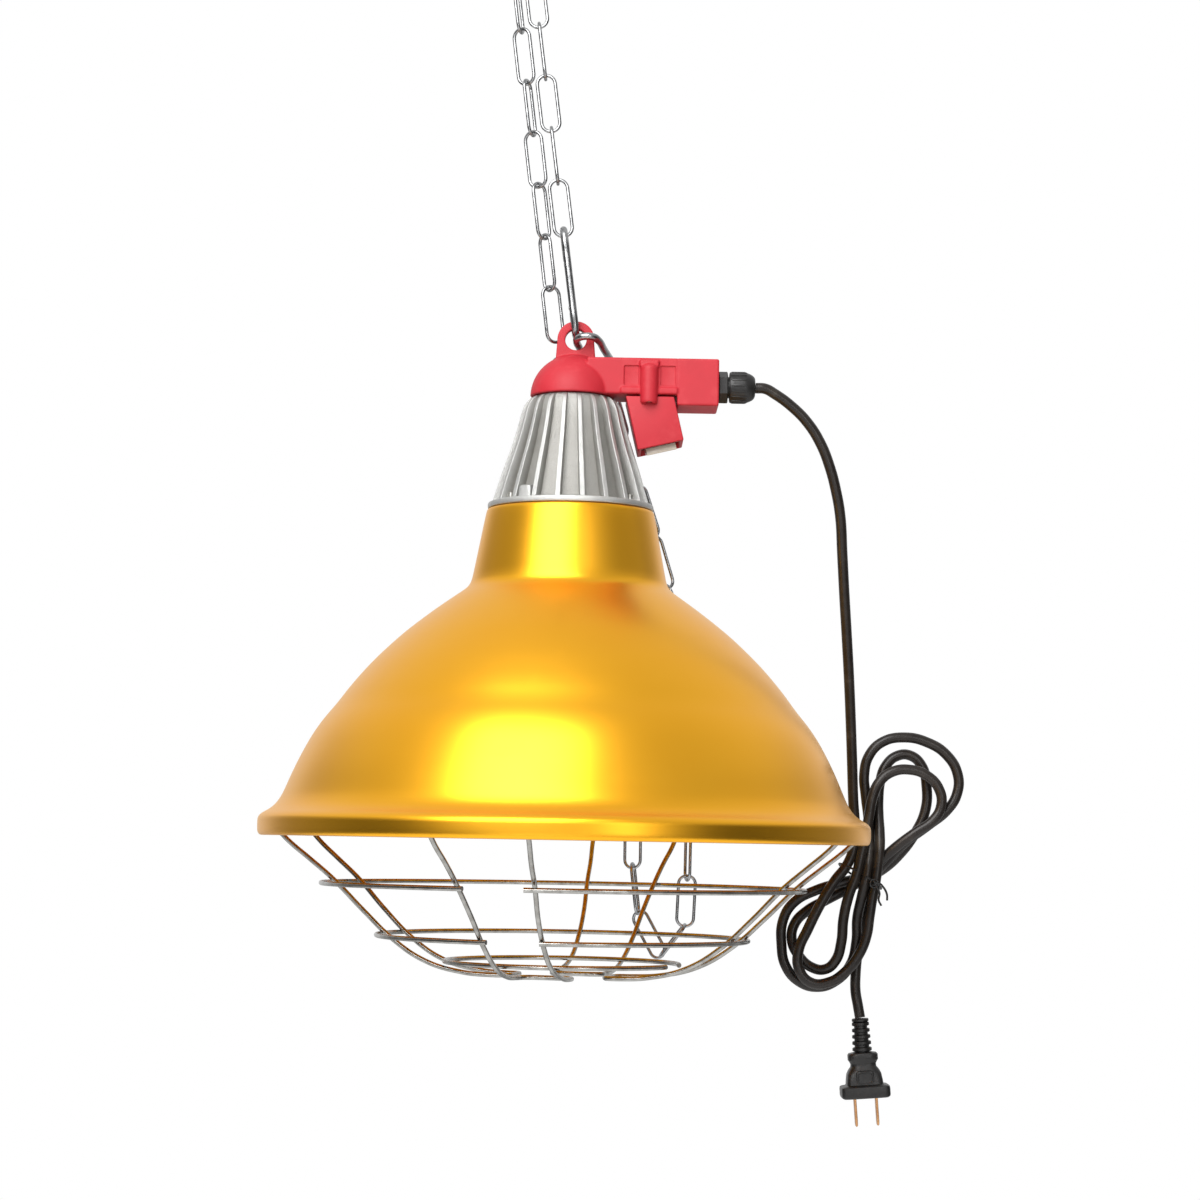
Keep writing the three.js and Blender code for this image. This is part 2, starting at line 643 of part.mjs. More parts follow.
const hangPoint = hookLow.clone().add(new THREE.Vector3(0, 0, 4 * hookBend - hookWire / 2));

// ---- chain over the back of the shade ---------------------------------------------

// A strand laid along a route as one solid: its links bite into each other a little.
const bite = 0.9;
function strand(points, firstTwist, steps) {
  const curve = route(points);
  const count = steps ?? Math.round(curve.getLength() / linkPitch);
  const joints = curve.getSpacedPoints(count);
  const links = [];
  for (let i = 0; i < count; i += 1) {
    const reach = joints[i].distanceTo(joints[i + 1]) + linkWire - bite - 2 * linkRadius;
    const ring = longRing(linkRadius, linkWire, reach, 4, 8);
    links.push(along(ring, joints[i], joints[i + 1], firstTwist + 90 * (i % 2)));
  }
  return join(...links);
}

// A point lying on the shade's back: radius, height and degrees round from the back.
const onBack = (r, z, degrees) => [r * Math.sin(radians(degrees)), r * Math.cos(radians(degrees)), z];
const lie = 8;
const hang = bite + 3 * gap;
const loopLeft = onBack(rimRadius + lie, -14.4, 13.2);
const loopRight = onBack(rimRadius + lie, -21.4, 24.7);
const leftDrape = strand([
  [-9, 19.8, eyeZ - 8], [-8, 26, eyeZ - 17], [-4, 34, domeFoot + 4], [1, 38, housingTop - 16],
  [5, 47, flangeTop + 26], [10, 56, flangeTop + 4], onBack(62, bellHeight + 22, 15),
  onBack(neckFootRadius + lie + 4, bellHeight + 5, 17), onBack(96, 129, 17), onBack(128, 98, 15),
  onBack(153, 61, 14), onBack(169, 30, 13.4), onBack(rimRadius + lie, 14, 13.2),
  onBack(rimRadius + lie, loopLeft[2] - hang, 13.2),
], 0);
piece(lamp, 'chain_drape_left', leftDrape, zinc);

const rightDrape = strand([
  [20.5, 53, eyeZ - 19], [35, 54, flangeTop + 30], [47, 55, flangeTop - 5],
  [61, 57, bellHeight - 2], onBack(96, 129, 40), onBack(128, 98, 33),
  onBack(153, 61, 28), onBack(169, 30, 25.5), onBack(rimRadius + lie, 12, 24.7),
  onBack(rimRadius + lie, loopRight[2] - hang, 24.7),
], 45);
piece(lamp, 'chain_drape_right', rightDrape, zinc);

const loop = strand([
  loopLeft, [44.5, 178, -42], [58, 174.5, -68], [64, 172.5, -75], [69, 171, -66],
  [76.5, 168, -48], loopRight,
], 90, 4);
piece(lamp, 'chain_loop', loop, zinc);

// ---- mains cord -----------------------------------------------------------------

const glandEnd = armReach + nutEnd;
const cordRoute = route([
  [glandEnd + gap, 0, cordZ], [glandEnd + 6, 0, cordZ - 0.3], [117.4, 1, cordZ - 3],
  [127, 2.5, cordZ - 9.5], [137, 4, 245], [145, 6, 233], [150.5, 8, 220], [154.6, 10.5, 206],
  [157.5, 14, 192], [159.5, 20, 170], [161.5, 27, 148], [163.8, 34, 124], [166, 41, 100],
  [168, 48, 74], [169.6, 54, 50], [171, 59, 27], [172.4, 62, 10], [173.2, 64, -1],
]);
piece(lamp, 'cord', bar(cordRoute, cordDiameter, 30), cordBlack);

// The rest is folded into a figure of eight. This is its outer shape: two lobes and a waist.
const bundleMiddle = 66;
const bundleThick = 20;
const bundleLean = 30;
const lobe = (x, z, halfWidth, halfLength) => {
  const outline = new THREE.Shape().absellipse(0, 0, halfWidth, halfLength, 0, 2 * Math.PI);
  return plate(outline, -bundleThick / 2, bundleThick / 2)
    .rotateY(radians(bundleLean)).translate(x, bundleMiddle, z);
};
const waist = [179, -20];
const upperLobe = lobe(208, 29, 25, 43);
const lowerLobe = lobe(156, -53, 24, 38);
piece(lamp, 'cord_bundle', join(upperLobe, lobe(...waist, 11, 19), lowerLobe), cordBlack);

// The tie is a soft wire round the crossing of the loops.
const tieWire = 1.6;
const tieRing = longRing(16.2, tieWire, 1, 5, 16).rotateX(Math.PI / 2)
  .rotateY(radians(bundleLean));
piece(lamp, 'twist_tie', tieRing.translate(waist[0], bundleMiddle, waist[1]), blackPlastic);

// ---- plug -----------------------------------------------------------------------

const plugPlace = new THREE.Group();
plugPlace.position.set(177, bundleMiddle, -102);
plugPlace.rotation.y = -radians(4.5);
lamp.add(plugPlace);
const plugBodyTop = -28;
const plugFace = -46.5;
const reliefStart = 0;
const plug = join(
  turned([
    [0, plugBodyTop - 1], [5, plugBodyTop - 1], [5.6, reliefStart - 4],
    [5.2, reliefStart], [0, reliefStart],
  ], 16),
  block(-8.6, 8.6, -6.5, 6.5, -33, -16),
  block(-10.5, 10.5, -8, 8, -42, -27),
  block(-14.5, 14.5, -11, 11, plugFace, -35),
);
piece(plugPlace, 'plug', plug, blackPlastic);
const bladePitch = 12.7;
[-1, 1].forEach((side, i) => {
  const x = (side * bladePitch) / 2;
  const blade = block(
    x - 0.75, x + 0.75, -3.15, 3.15, plugFace - gap - 16.5, plugFace - gap,
  );
  piece(plugPlace, `plug_blade_${i + 1}`, blade, brass);
});

const tailTop = [172.5, bundleMiddle, -80];
piece(lamp, 'cord_tail', bar(route([
  tailTop, [173.8, bundleMiddle, -87], [176, bundleMiddle, -96], [177, bundleMiddle, -102 + gap],
]), cordDiameter, 4), cordBlack);

lamp.position.copy(hangPoint).negate();

export default object;
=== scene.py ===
# A hanging heat lamp for poultry and small livestock, built up piece by piece
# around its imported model. Everything is in metres in the model's own frame.
import math

import bmesh
import bpy
from mathutils import Matrix, Vector


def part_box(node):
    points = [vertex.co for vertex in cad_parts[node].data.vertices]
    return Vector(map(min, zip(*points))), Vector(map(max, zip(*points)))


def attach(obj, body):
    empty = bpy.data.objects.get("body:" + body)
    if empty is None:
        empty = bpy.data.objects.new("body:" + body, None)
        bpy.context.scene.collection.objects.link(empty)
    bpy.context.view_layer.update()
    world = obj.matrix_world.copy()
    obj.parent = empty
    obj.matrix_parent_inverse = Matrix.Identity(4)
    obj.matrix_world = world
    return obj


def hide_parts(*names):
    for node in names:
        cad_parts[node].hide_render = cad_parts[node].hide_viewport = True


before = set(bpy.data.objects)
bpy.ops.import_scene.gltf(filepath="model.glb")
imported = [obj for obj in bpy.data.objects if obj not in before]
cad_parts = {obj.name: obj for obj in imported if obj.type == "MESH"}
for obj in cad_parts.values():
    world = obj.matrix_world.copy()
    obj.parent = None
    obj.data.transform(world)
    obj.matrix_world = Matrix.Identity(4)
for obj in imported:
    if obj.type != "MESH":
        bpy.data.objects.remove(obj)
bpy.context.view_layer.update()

# --- camera -----------------------------------------------------------------
# A long lens at the height of the shade's rim, tipped up a little and rolled by a
# degree, because the lamp hangs out of true.
shade_low, shade_high = (Vector(corner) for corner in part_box("shade"))
rim_centre = Vector(((shade_low.x + shade_high.x) / 2, (shade_low.y + shade_high.y) / 2, shade_low.z))


def at(x, y, z):
    """A place on the lamp in millimetres from the middle of the shade's rim, in metres."""
    return rim_centre + Vector((x, y, z)) / 1000


def shifted(x, y, z):
    """The lamp's frame moved to a place on it."""
    return Matrix.Translation(at(x, y, z))


def linked(name, data):
    """A new object in the scene."""
    made = bpy.data.objects.new(name, data)
    bpy.context.collection.objects.link(made)
    return made


camera = linked("camera", bpy.data.cameras.new("camera"))
camera.data.lens = 82.5
camera.data.sensor_width = 36
camera_aim_rise, camera_aim_run = 241, 2750
camera_tip = math.atan(camera_aim_rise / camera_aim_run)
camera_roll = math.radians(1.05)
look = Vector((0, math.cos(camera_tip), math.sin(camera_tip)))
level = Vector((1, 0, 0))
rise = level.cross(look)
right = level * math.cos(camera_roll) + rise * math.sin(camera_roll)
rise = rise * math.cos(camera_roll) - level * math.sin(camera_roll)
camera.matrix_world = shifted(18, -1583, 0) @ Matrix((right, rise, -look)).transposed().to_4x4()
bpy.context.scene.camera = camera


# --- mains cord -------------------------------------------------------------
# Round two-core flex in a black-brown sheath, 6.2 mm thick. It leaves the gland, bends
# over, falls behind the rim and is folded in three figure-of-eight turns above its plug.
class Field:
    """A number that varies over a surface, as a socket that Python sums can use."""

    def __init__(self, coat, socket):
        self.coat = coat
        self.socket = socket

    def maths(self, operation, first, second):
        values = {0: first, 1: second}
        return Field(self.coat, self.coat.node("ShaderNodeMath", {"operation": operation},
                                               values).outputs[0])

    def __add__(self, other):
        return self.maths("ADD", self, other)

    def __sub__(self, other):
        return self.maths("SUBTRACT", self, other)

    def __rsub__(self, other):
        return self.maths("SUBTRACT", other, self)

    def __mul__(self, other):
        return self.maths("MULTIPLY", self, other)

    __radd__ = __add__
    __rmul__ = __mul__


class Coat:
    """One finish: a material whose Principled shader is fed by patterns in the piece's own metres."""

    def __init__(self, name, **steady):
        self.material = bpy.data.materials.new(name)
        self.material.use_nodes = True
        self.tree = self.material.node_tree
        self.shader = self.tree.nodes["Principled BSDF"]
        for socket, value in steady.items():
            self.shader.inputs[socket.replace("_", " ").title().replace("Ior", "IOR")].default_value = value
        self.place = self.node("ShaderNodeTexCoord", {}, {}).outputs["Object"]

    def node(self, kind, settings, values):
        made = self.tree.nodes.new(kind)
        for key, value in settings.items():
            if key == "stops":
                ramp = made.color_ramp
                while len(ramp.elements) < len(value):
                    ramp.elements.new(0.5)
                for element, (position, colour) in zip(ramp.elements, value):
                    element.position = position
                    element.color = (*colour, 1)
            else:
                setattr(made, key, value)
        for key, value in values.items():
            if isinstance(value, Field):
                value = value.socket
            if isinstance(value, bpy.types.NodeSocket):
                self.tree.links.new(value, made.inputs[key])
            else:
                made.inputs[key].default_value = value
        return made

    def stretched(self, stretch, centre=(0, 0, 0)):
        moved = self.node("ShaderNodeVectorMath", {"operation": "SUBTRACT"},
                          {0: self.place, 1: centre}).outputs[0]
        return self.node("ShaderNodeVectorMath", {"operation": "MULTIPLY"},
                         {0: moved, 1: stretch}).outputs[0]

    def round_the_axis(self):
        """Distance from the lamp's axis and height above the rim, both in metres."""
        moved = self.node("ShaderNodeSeparateXYZ", {}, {0: self.stretched((1, 1, 1), rim_centre)})
        flat = self.node("ShaderNodeCombineXYZ", {},
                         {"X": moved.outputs["X"], "Y": moved.outputs["Y"]}).outputs[0]
        radius = self.node("ShaderNodeVectorMath", {"operation": "LENGTH"}, {0: flat}).outputs["Value"]
        return Field(self, radius), Field(self, moved.outputs["Z"])

    def noise(self, size, detail=3.0, vector=None, roughness=0.55):
        """Cloudy noise from 0 to 1 with blotches of about that size in metres."""
        values = {"Vector": vector or self.place, "Scale": 1 / size, "Detail": detail,
                  "Roughness": roughness}
        return Field(self, self.node("ShaderNodeTexNoise", {}, values).outputs[0])

    def ramp(self, amount, stops):
        return self.node("ShaderNodeValToRGB", {"stops": stops}, {0: amount}).outputs[0]

    def grey(self, amount, stops):
        """A ramp that turns a number into another number."""
        return Field(self, self.ramp(amount, [(position, (v, v, v)) for position, v in stops]))

    def mix(self, amount, first, second):
        made = self.node("ShaderNodeMix", {"data_type": "RGBA"}, {0: amount})
        for key, value in ((6, first), (7, second)):
            if isinstance(value, bpy.types.NodeSocket):
                self.tree.links.new(value, made.inputs[key])
            else:
                made.inputs[key].default_value = (*value, 1)
        return made.outputs[2]

    def colour(self, socket):
        self.tree.links.new(socket, self.shader.inputs["Base Color"])

    def two_tone(self, size, detail, dark, light):
        """Colours the whole finish with clouds between two tones."""
        self.colour(self.ramp(self.noise(size, detail), [(0.3, dark), (0.7, light)]))

    def rough(self, field):
        self.tree.links.new(field.socket, self.shader.inputs["Roughness"])

    def relief(self, *layers):
        """Bumps laid over each other: (field, depth in metres, strength)."""
        normal = None
        for height, depth, strength in layers:
            values = {"Height": height, "Distance": depth, "Strength": strength}
            if normal:
                values["Normal"] = normal
            normal = self.node("ShaderNodeBump", {}, values).outputs[0]
        self.tree.links.new(normal, self.shader.inputs["Normal"])


sheath = Coat("cord_sheath", specular_ior_level=0.36)
scuffs = sheath.noise(0.011, 6)
sheath.colour(sheath.ramp(scuffs, [(0.35, (0.012, 0.009, 0.0075)), (0.62, (0.021, 0.0165, 0.0135)),
                                   (0.8, (0.05, 0.042, 0.034))]))
sheath.rough(0.2 + 0.2 * sheath.noise(0.004, 4))
sheath.relief((sheath.noise(0.0008, 2), 0.00012, 0.35), (sheath.noise(0.018, 2), 0.0006, 0.25))

cord_thick = 0.0062
fall = [
    (106.2, 0, 264.1), (111.9, 0, 263.8), (117.4, 1, 261.1), (127, 2.5, 254.6), (137, 4, 245),
    (145, 6, 233), (150.5, 8, 220), (154.6, 10.5, 206), (157.5, 14, 192), (159.5, 20, 170),
    (161.5, 27, 148), (163.8, 34, 124), (166, 41, 100), (168, 48, 74), (169.6, 54, 50), (171, 59, 27),
    (172.4, 62, 10), (171.6, 62, -2),
]
turns = [
    (167.6, 61.2, -12), (161, 60.4, -20.5), (152.5, 59.8, -34.4), (144.9, 59.7, -49.9),
    (139.6, 59.7, -62.5), (140, 59.7, -73.5), (147, 59.7, -81.3), (157.5, 59.7, -81),
    (167.5, 59.7, -74.5), (175.5, 59.7, -64), (179.8, 59.7, -53), (181.4, 59.7, -42), (183, 59.7, -31),
    (184.5, 59.7, -23.2), (186.2, 59.7, -10), (187.3, 60.8, 0), (187.5, 64.5, 9), (187.2, 68.6, 18),
    (187.3, 71.6, 28), (188.3, 72.3, 38.5), (191.5, 72.3, 48), (198.5, 72.3, 54.3), (206.3, 72.3, 54.6),
    (213.2, 72.3, 48.5), (216.2, 72.3, 36.5), (215.6, 72.3, 22), (209.8, 72.5, 8.5), (200, 72.5, -5),
    (190, 72.3, -14), (179, 72.3, -20), (168, 72.3, -26.5), (156, 72.3, -33), (145, 72.2, -39.5),
    (138, 71.8, -47), (136.2, 70.8, -56.5), (140.5, 69.2, -66), (148.1, 67.5, -72.6),
    (155.9, 65.5, -73.5), (161.8, 63.5, -68.3), (165, 61.8, -57.3), (166, 60.3, -43.5),
    (169, 59.7, -29.5), (173.5, 59.7, -16.8), (175.9, 59.7, -6), (178.6, 59.7, 6), (180.6, 59.7, 18),
    (182.6, 59.7, 29), (186.5, 59.7, 38), (194, 60, 44.2), (204.5, 60.5, 45.8), (215, 60.8, 42.5),
    (222.3, 60.8, 34.5), (223.6, 60.8, 24.5), (218.5, 60.8, 15.5), (208.5, 61.2, 8.5), (197.5, 62.8, 0),
    (186, 65, -10.5), (176.2, 66, -18.4), (163.5, 67.5, -22.5), (150.6, 69, -26.8), (137.4, 70, -34.2),
    (131.1, 70.5, -44.3), (130.1, 70.2, -59.7), (132.7, 69.5, -72.1), (140.5, 68.2, -81),
    (151.2, 67, -84.1), (161.9, 66.6, -80.6), (171, 66.2, -70.5), (174.3, 65.6, -57), (174.6, 64.5, -43),
    (176.8, 61.5, -30.5), (179, 59.7, -20), (180.2, 60.3, -13), (181.4, 62.5, -6), (181.8, 66.3, 6),
    (180.8, 67.3, 18), (179.2, 67.3, 30), (178.2, 67.3, 43), (181, 67.2, 54), (189, 67, 62.3),
    (202.5, 66.9, 65.2), (215.5, 66.9, 62.6), (227.3, 66.9, 55.3), (234.2, 67, 43.5), (233.8, 67, 32),
    (228.2, 67, 22.5), (216.5, 67, 12.8), (203.6, 66.9, 3), (192.6, 66.6, -8), (181.8, 66.2, -21.6),
]
tail = [
    (179.3, 69, -35), (177.4, 71.8, -50), (175.6, 72.3, -65), (174.6, 71, -76), (174.4, 68.6, -86),
    (175.8, 66.5, -95), (177, 66, -101.7),
]


def wire_curve(name, routes):
    """Smooth lines through places in millimetres on the lamp, as one curve object."""
    data = bpy.data.curves.new(name, "CURVE")
    data.dimensions = "3D"
    data.resolution_u = 10
    for route in routes:
        spline = data.splines.new("BEZIER")
        spline.bezier_points.add(len(route) - 1)
        for point, place in zip(spline.bezier_points, route):
            point.co = place if isinstance(place, Vector) else at(*place)
            point.handle_left_type = point.handle_right_type = "AUTO"
    return linked(name, data)


cord = wire_curve("mains_cord", [fall + turns + tail])
cord.data.bevel_depth = cord_thick / 2
cord.data.bevel_resolution = 5
cord.data.resolution_u = 8
cord.data.use_fill_caps = True
cord.data.materials.append(sheath.material)


def stands_for(piece, body, slot, *nodes):
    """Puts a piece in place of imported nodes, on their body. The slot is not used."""
    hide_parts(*nodes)
    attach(piece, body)


stands_for(cord, "lamp", "cord_sheath", "cord", "cord_bundle", "cord_tail")


# --- twist tie --------------------------------------------------------------
# A short length of soft wire in a black plastic skin, wrapped once round the waist of the
# folded cord and twisted at the front, with its two ends left standing out.
def started_tree(name, result, **sizes):
    """A geometry tree with named inputs: each size, with its usual value, and the finish."""
    tree = bpy.data.node_groups.new(name, "GeometryNodeTree")
    for label, (kind, value) in {**sizes, "Finish": ("Material", None)}.items():
        socket = tree.interface.new_socket(label.replace("_", " "), in_out="INPUT",
                                           socket_type="NodeSocket" + kind)
        if value is not None:
            socket.default_value = value
    tree.interface.new_socket(result, in_out="OUTPUT", socket_type="NodeSocketGeometry")
    return tree, tree.nodes.new, tree.links.new, tree.nodes.new("NodeGroupInput")


def tree_maths(tree, operation, *values):
    """One sum in a node tree, from sockets and plain numbers."""
    made = tree.nodes.new("ShaderNodeMath")
    made.operation = operation
    for socket, value in zip(made.inputs, values):
        if isinstance(value, bpy.types.NodeSocket):
            tree.links.new(value, socket)
        else:
            socket.default_value = value
    return made.outputs[0]


def painted(tree, given, geometry, result):
    """Ends a geometry tree: its copies are made real and take the finish."""
    real = tree.nodes.new("GeometryNodeRealizeInstances")
    paint = tree.nodes.new("GeometryNodeSetMaterial")
    tree.links.new(geometry, real.inputs["Geometry"])
    tree.links.new(real.outputs["Geometry"], paint.inputs["Geometry"])
    tree.links.new(given.outputs["Finish"], paint.inputs["Material"])
    tree.links.new(paint.outputs["Geometry"], tree.nodes.new("NodeGroupOutput").inputs[result])
    return tree


def wire_tree(name):
    """Geometry nodes that give a line a round section, smooth its faces and paint it."""
    tree, add, join, given = started_tree(name, "Body", Line=("Geometry", None), Thickness=("Float", 0.002),
                                          Sides=("Int", 12))
    section = add("GeometryNodeCurvePrimitiveCircle")
    join(tree_maths(tree, "MULTIPLY", given.outputs["Thickness"], 0.5), section.inputs["Radius"])
    join(given.outputs["Sides"], section.inputs["Resolution"])
    tube = add("GeometryNodeCurveToMesh")
    tube.inputs["Fill Caps"].default_value = True
    join(given.outputs["Line"], tube.inputs["Curve"])
    join(section.outputs["Curve"], tube.inputs["Profile Curve"])
    smooth = add("GeometryNodeSetShadeSmooth")
    join(tube.outputs["Mesh"], smooth.inputs["Geometry"])
    return painted(tree, given, smooth.outputs["Geometry"], "Body")


def grown(source, tree, name, **inputs):
    """Runs a geometry tree on an object and keeps the result as a plain mesh object."""
    modifier = source.modifiers.new("grow", "NODES")
    modifier.node_group = tree
    known = {item.name: item.identifier for item in tree.interface.items_tree if item.in_out == "INPUT"}
    for label, value in inputs.items():
        modifier[known[label.replace("_", " ")]] = value
    bpy.context.view_layer.update()
    finished = source.evaluated_get(bpy.context.evaluated_depsgraph_get())
    mesh = bpy.data.meshes.new_from_object(finished)
    mesh.name = name
    made = linked(name, mesh)
    bpy.data.objects.remove(source)
    return made


round_wire = wire_tree("round_wire")


def wire(name, routes, thickness, coat, sides=14):
    line = wire_curve(name + "_line", routes)
    return grown(line, round_wire, name, Thickness=thickness, Sides=sides, Finish=coat.material)


black_skin = Coat("black_plastic", specular_ior_level=0.5)
black_skin.two_tone(0.006, 5, (0.006, 0.0056, 0.0054), (0.014, 0.013, 0.0125))
black_skin.rough(0.28 + 0.22 * black_skin.noise(0.003, 4))
black_skin.relief((black_skin.noise(0.0007, 3), 0.0001, 0.3))

bundle_x, bundle_y = 177, 66
tie_middle = Vector((bundle_x, bundle_y, -18.5))
tie_across = Vector((math.cos(math.radians(30)), 0, -math.sin(math.radians(30))))
tie_away = Vector((0, 1, 0))


def tie_point(across, away, along=0.0):
    lengthwise = tie_across.cross(tie_away)
    return tuple(tie_middle + tie_across * across + tie_away * away + lengthwise * along)


tie_loop = []
for degrees in range(100, 445, 15):
    turn, quarter_back = math.radians(degrees), math.radians(degrees - 90)
    across = 5 - 1.5 * math.cos(turn) + (-6 + 13.2 * math.sin(quarter_back)) * 0.98
    tie_loop.append(tie_point(across, -11.3 * math.cos(quarter_back), 1.2 * math.sin(turn)))
tie_ends = [[tie_point(*place) for place in end] for end in (
    [(6, -10.4, 0), (7, -13, -1), (9.5, -13.5, 1.5), (13, -13, 1), (17, -12.5, -1.5), (19, -12, -4.5)],
    [(7.5, -10.6, 1), (6.2, -13.4, 1.2), (9, -14.2, -0.6), (12.6, -14, -3), (14.5, -13.5, -7),
     (17.5, -13, -9)],
    [(7.2 + 2.2 * math.cos(turn), -12.6 - 0.4 * math.sin(2 * turn), 2.2 * math.sin(turn))
     for turn in map(math.radians, range(0, 420, 30))],
)]
tie = wire("twist_tie_wire", [tie_loop, *tie_ends], 0.0013, black_skin, 8)
stands_for(tie, "lamp", "black_plastic", "twist_tie")


# --- plug -------------------------------------------------------------------
# A moulded black plug: a ribbed strain relief 28 mm long, a collar, a waisted grip and
# a broad flange at its face. Two flat brass blades stand out of the face.
def turned(name, profile, coat, place=None, steps=96, axis="Z", closed=False):
    """A turned body. The profile is (radius, height) in millimetres, from one end to the other."""
    mesh = bmesh.new()
    rings = []
    for radius, height in profile:
        if radius == 0:
            rings.append([mesh.verts.new((0, 0, height / 1000))])
            continue
        rings.append([mesh.verts.new((radius / 1000 * math.cos(2 * math.pi * i / steps),
                                      radius / 1000 * math.sin(2 * math.pi * i / steps), height / 1000))
                      for i in range(steps)])
    if closed:
        rings.append(rings[0])
    for low, high in zip(rings, rings[1:]):
        for i in range(steps):
            j = (i + 1) % steps
            corners = [low[i % len(low)], low[j % len(low)], high[j % len(high)], high[i % len(high)]]
            corners = list(dict.fromkeys(corners))
            mesh.faces.new(corners)
    return settled(name, mesh, coat, place, axis)


crease_angle = 35


def settled(name, mesh, coat, place=None, axis="Z", round_edge=0.0):
    """Closes a bmesh into an object with outward faces, in its place on the lamp."""
    if round_edge:
        bmesh.ops.bevel(mesh, geom=mesh.edges[:], offset=round_edge / 1000, segments=3, profile=0.5,
                        affect="EDGES")
    bmesh.ops.remove_doubles(mesh, verts=mesh.verts, dist=1e-7)
    bmesh.ops.recalc_face_normals(mesh, faces=mesh.faces)
    if axis == "X":
        bmesh.ops.transform(mesh, matrix=Matrix.Rotation(math.pi / 2, 4, "Y"), verts=mesh.verts)
    if place is not None:
        bmesh.ops.transform(mesh, matrix=place, verts=mesh.verts)
    data = bpy.data.meshes.new(name)
    mesh.to_mesh(data)
    mesh.free()
    data.materials.append(coat.material)
    made = linked(name, data)
    data.shade_smooth()
    data.set_sharp_from_angle(angle=math.radians(crease_angle))
    return made


def lofted(name, sections, coat, place, steps=48):
    """A body through rounded rectangles: (height, half width, half depth, squareness)."""
    mesh = bmesh.new()
    rings = []
    for height, wide, deep, square in sections:
        ring = []
        for i in range(steps):
            turn = 2 * math.pi * (i + 0.5) / steps
            c, s = math.cos(turn), math.sin(turn)
            ring.append(mesh.verts.new((
                wide / 1000 * math.copysign(abs(c) ** (2 / square), c),
                deep / 1000 * math.copysign(abs(s) ** (2 / square), s), height / 1000)))
        rings.append(ring)
    for low, high in zip(rings, rings[1:]):
        for i in range(steps):
            j = (i + 1) % steps
            mesh.faces.new((low[i], low[j], high[j], high[i]))
    mesh.faces.new(rings[0])
    mesh.faces.new(rings[-1])
    return settled(name, mesh, coat, place)


def joined(name, pieces):
    """One object from several, keeping their materials."""
    mesh = bmesh.new()
    materials = []
    for part in pieces:
        first = len(mesh.faces)
        mesh.from_mesh(part.data)
        mesh.faces.ensure_lookup_table()
        order = []
        for material in part.data.materials:
            if material not in materials:
                materials.append(material)
            order.append(materials.index(material))
        for face in mesh.faces[first:]:
            face.material_index = order[face.material_index]
    data = bpy.data.meshes.new(name)
    mesh.to_mesh(data)
    mesh.free()
    for material in materials:
        data.materials.append(material)
    for part in pieces:
        bpy.data.objects.remove(part)
    return linked(name, data)


plug_place = shifted(bundle_x, bundle_y, -102) @ Matrix.Rotation(-math.radians(4.5), 4, "Y")
relief_ribs = []
for i in range(5):
    top = -2.2 - 3.7 * i
    swell = 0.16 * i
    relief_ribs += [(4.5 + swell, top), (5.1 + swell, top - 0.35), (5.15 + swell, top - 1.9),
                    (4.5 + swell, top - 2.25),
                    (3.9 + swell, top - 2.35), (3.9 + swell, top - 3.6)]
relief = turned("relief", [(0, -0.1), (4.6, -0.1), (5.0, -0.5), (5.0, -1.7), (4.0, -2.1), *relief_ribs,
                           (5.2, -20.8), (5.2, -24), (0, -24)], black_skin, plug_place, 48)
grip = lofted("grip", [
    (-19.8, 5.8, 5.2, 2.6), (-20.3, 8.2, 6.4, 3.2), (-21.2, 8.9, 6.8, 3.4), (-24.2, 8.9, 6.8, 3.4),
    (-25.2, 8.2, 6.4, 3.2), (-26.6, 7.5, 6.1, 3.2), (-28.2, 7.6, 6.3, 3.4), (-30.2, 9.1, 7.2, 4),
    (-32.4, 10.1, 7.8, 5), (-36.4, 10.7, 8.2, 6), (-38.6, 10.9, 8.5, 6), (-39.1, 11.6, 9.2, 6),
    (-39.4, 13.6, 10.4, 7), (-39.9, 14.3, 10.9, 8), (-41.2, 14.5, 11, 8), (-44.6, 14.5, 11, 8),
    (-45.8, 14.2, 10.8, 8), (-46.5, 13.2, 10, 7),
], black_skin, plug_place, 72)
thumb_rest = lofted("thumb_rest", [
    (-0.6, 5.4, 4.2, 5), (0.1, 5.2, 4.0, 5), (0.4, 4.8, 3.6, 5), (0.4, 4.2, 3.0, 5), (0.1, 3.9, 2.7, 5),
    (0.05, 0.2, 0.2, 2),
], black_skin, plug_place @ Matrix.Translation((0, -0.0081, -0.0345)) @ Matrix.Rotation(math.pi / 2, 4,
    "X"))
plug = joined("mains_plug", [relief, grip, thumb_rest])
stands_for(plug, "lamp", "black_plastic", "plug")

brass = Coat("blade_brass", metallic=1.0)
brass.two_tone(0.004, 5, (0.50, 0.24, 0.10), (0.68, 0.38, 0.18))
brass.rough(0.22 + 0.25 * brass.noise(0.0015, 4, brass.stretched((1, 1, 0.2))))
brass.relief((brass.noise(0.0004, 2, brass.stretched((1, 1, 0.1))), 0.00005, 0.3))
for side in (-1, 1):
    blade = lofted("blade", [(-46.8, 0.75, 3.15, 8), (-60.6, 0.75, 3.15, 8), (-62.6, 0.7, 2.6, 6),
                             (-63.3, 0.35, 1.7, 4)],
                   brass, plug_place @ Matrix.Translation((side * 0.00635, 0, 0)), 32)
    blade.name = "plug_blade_left" if side < 0 else "plug_blade_right"
    stands_for(blade, "lamp", "brass", "plug_blade_1" if side < 0 else "plug_blade_2")


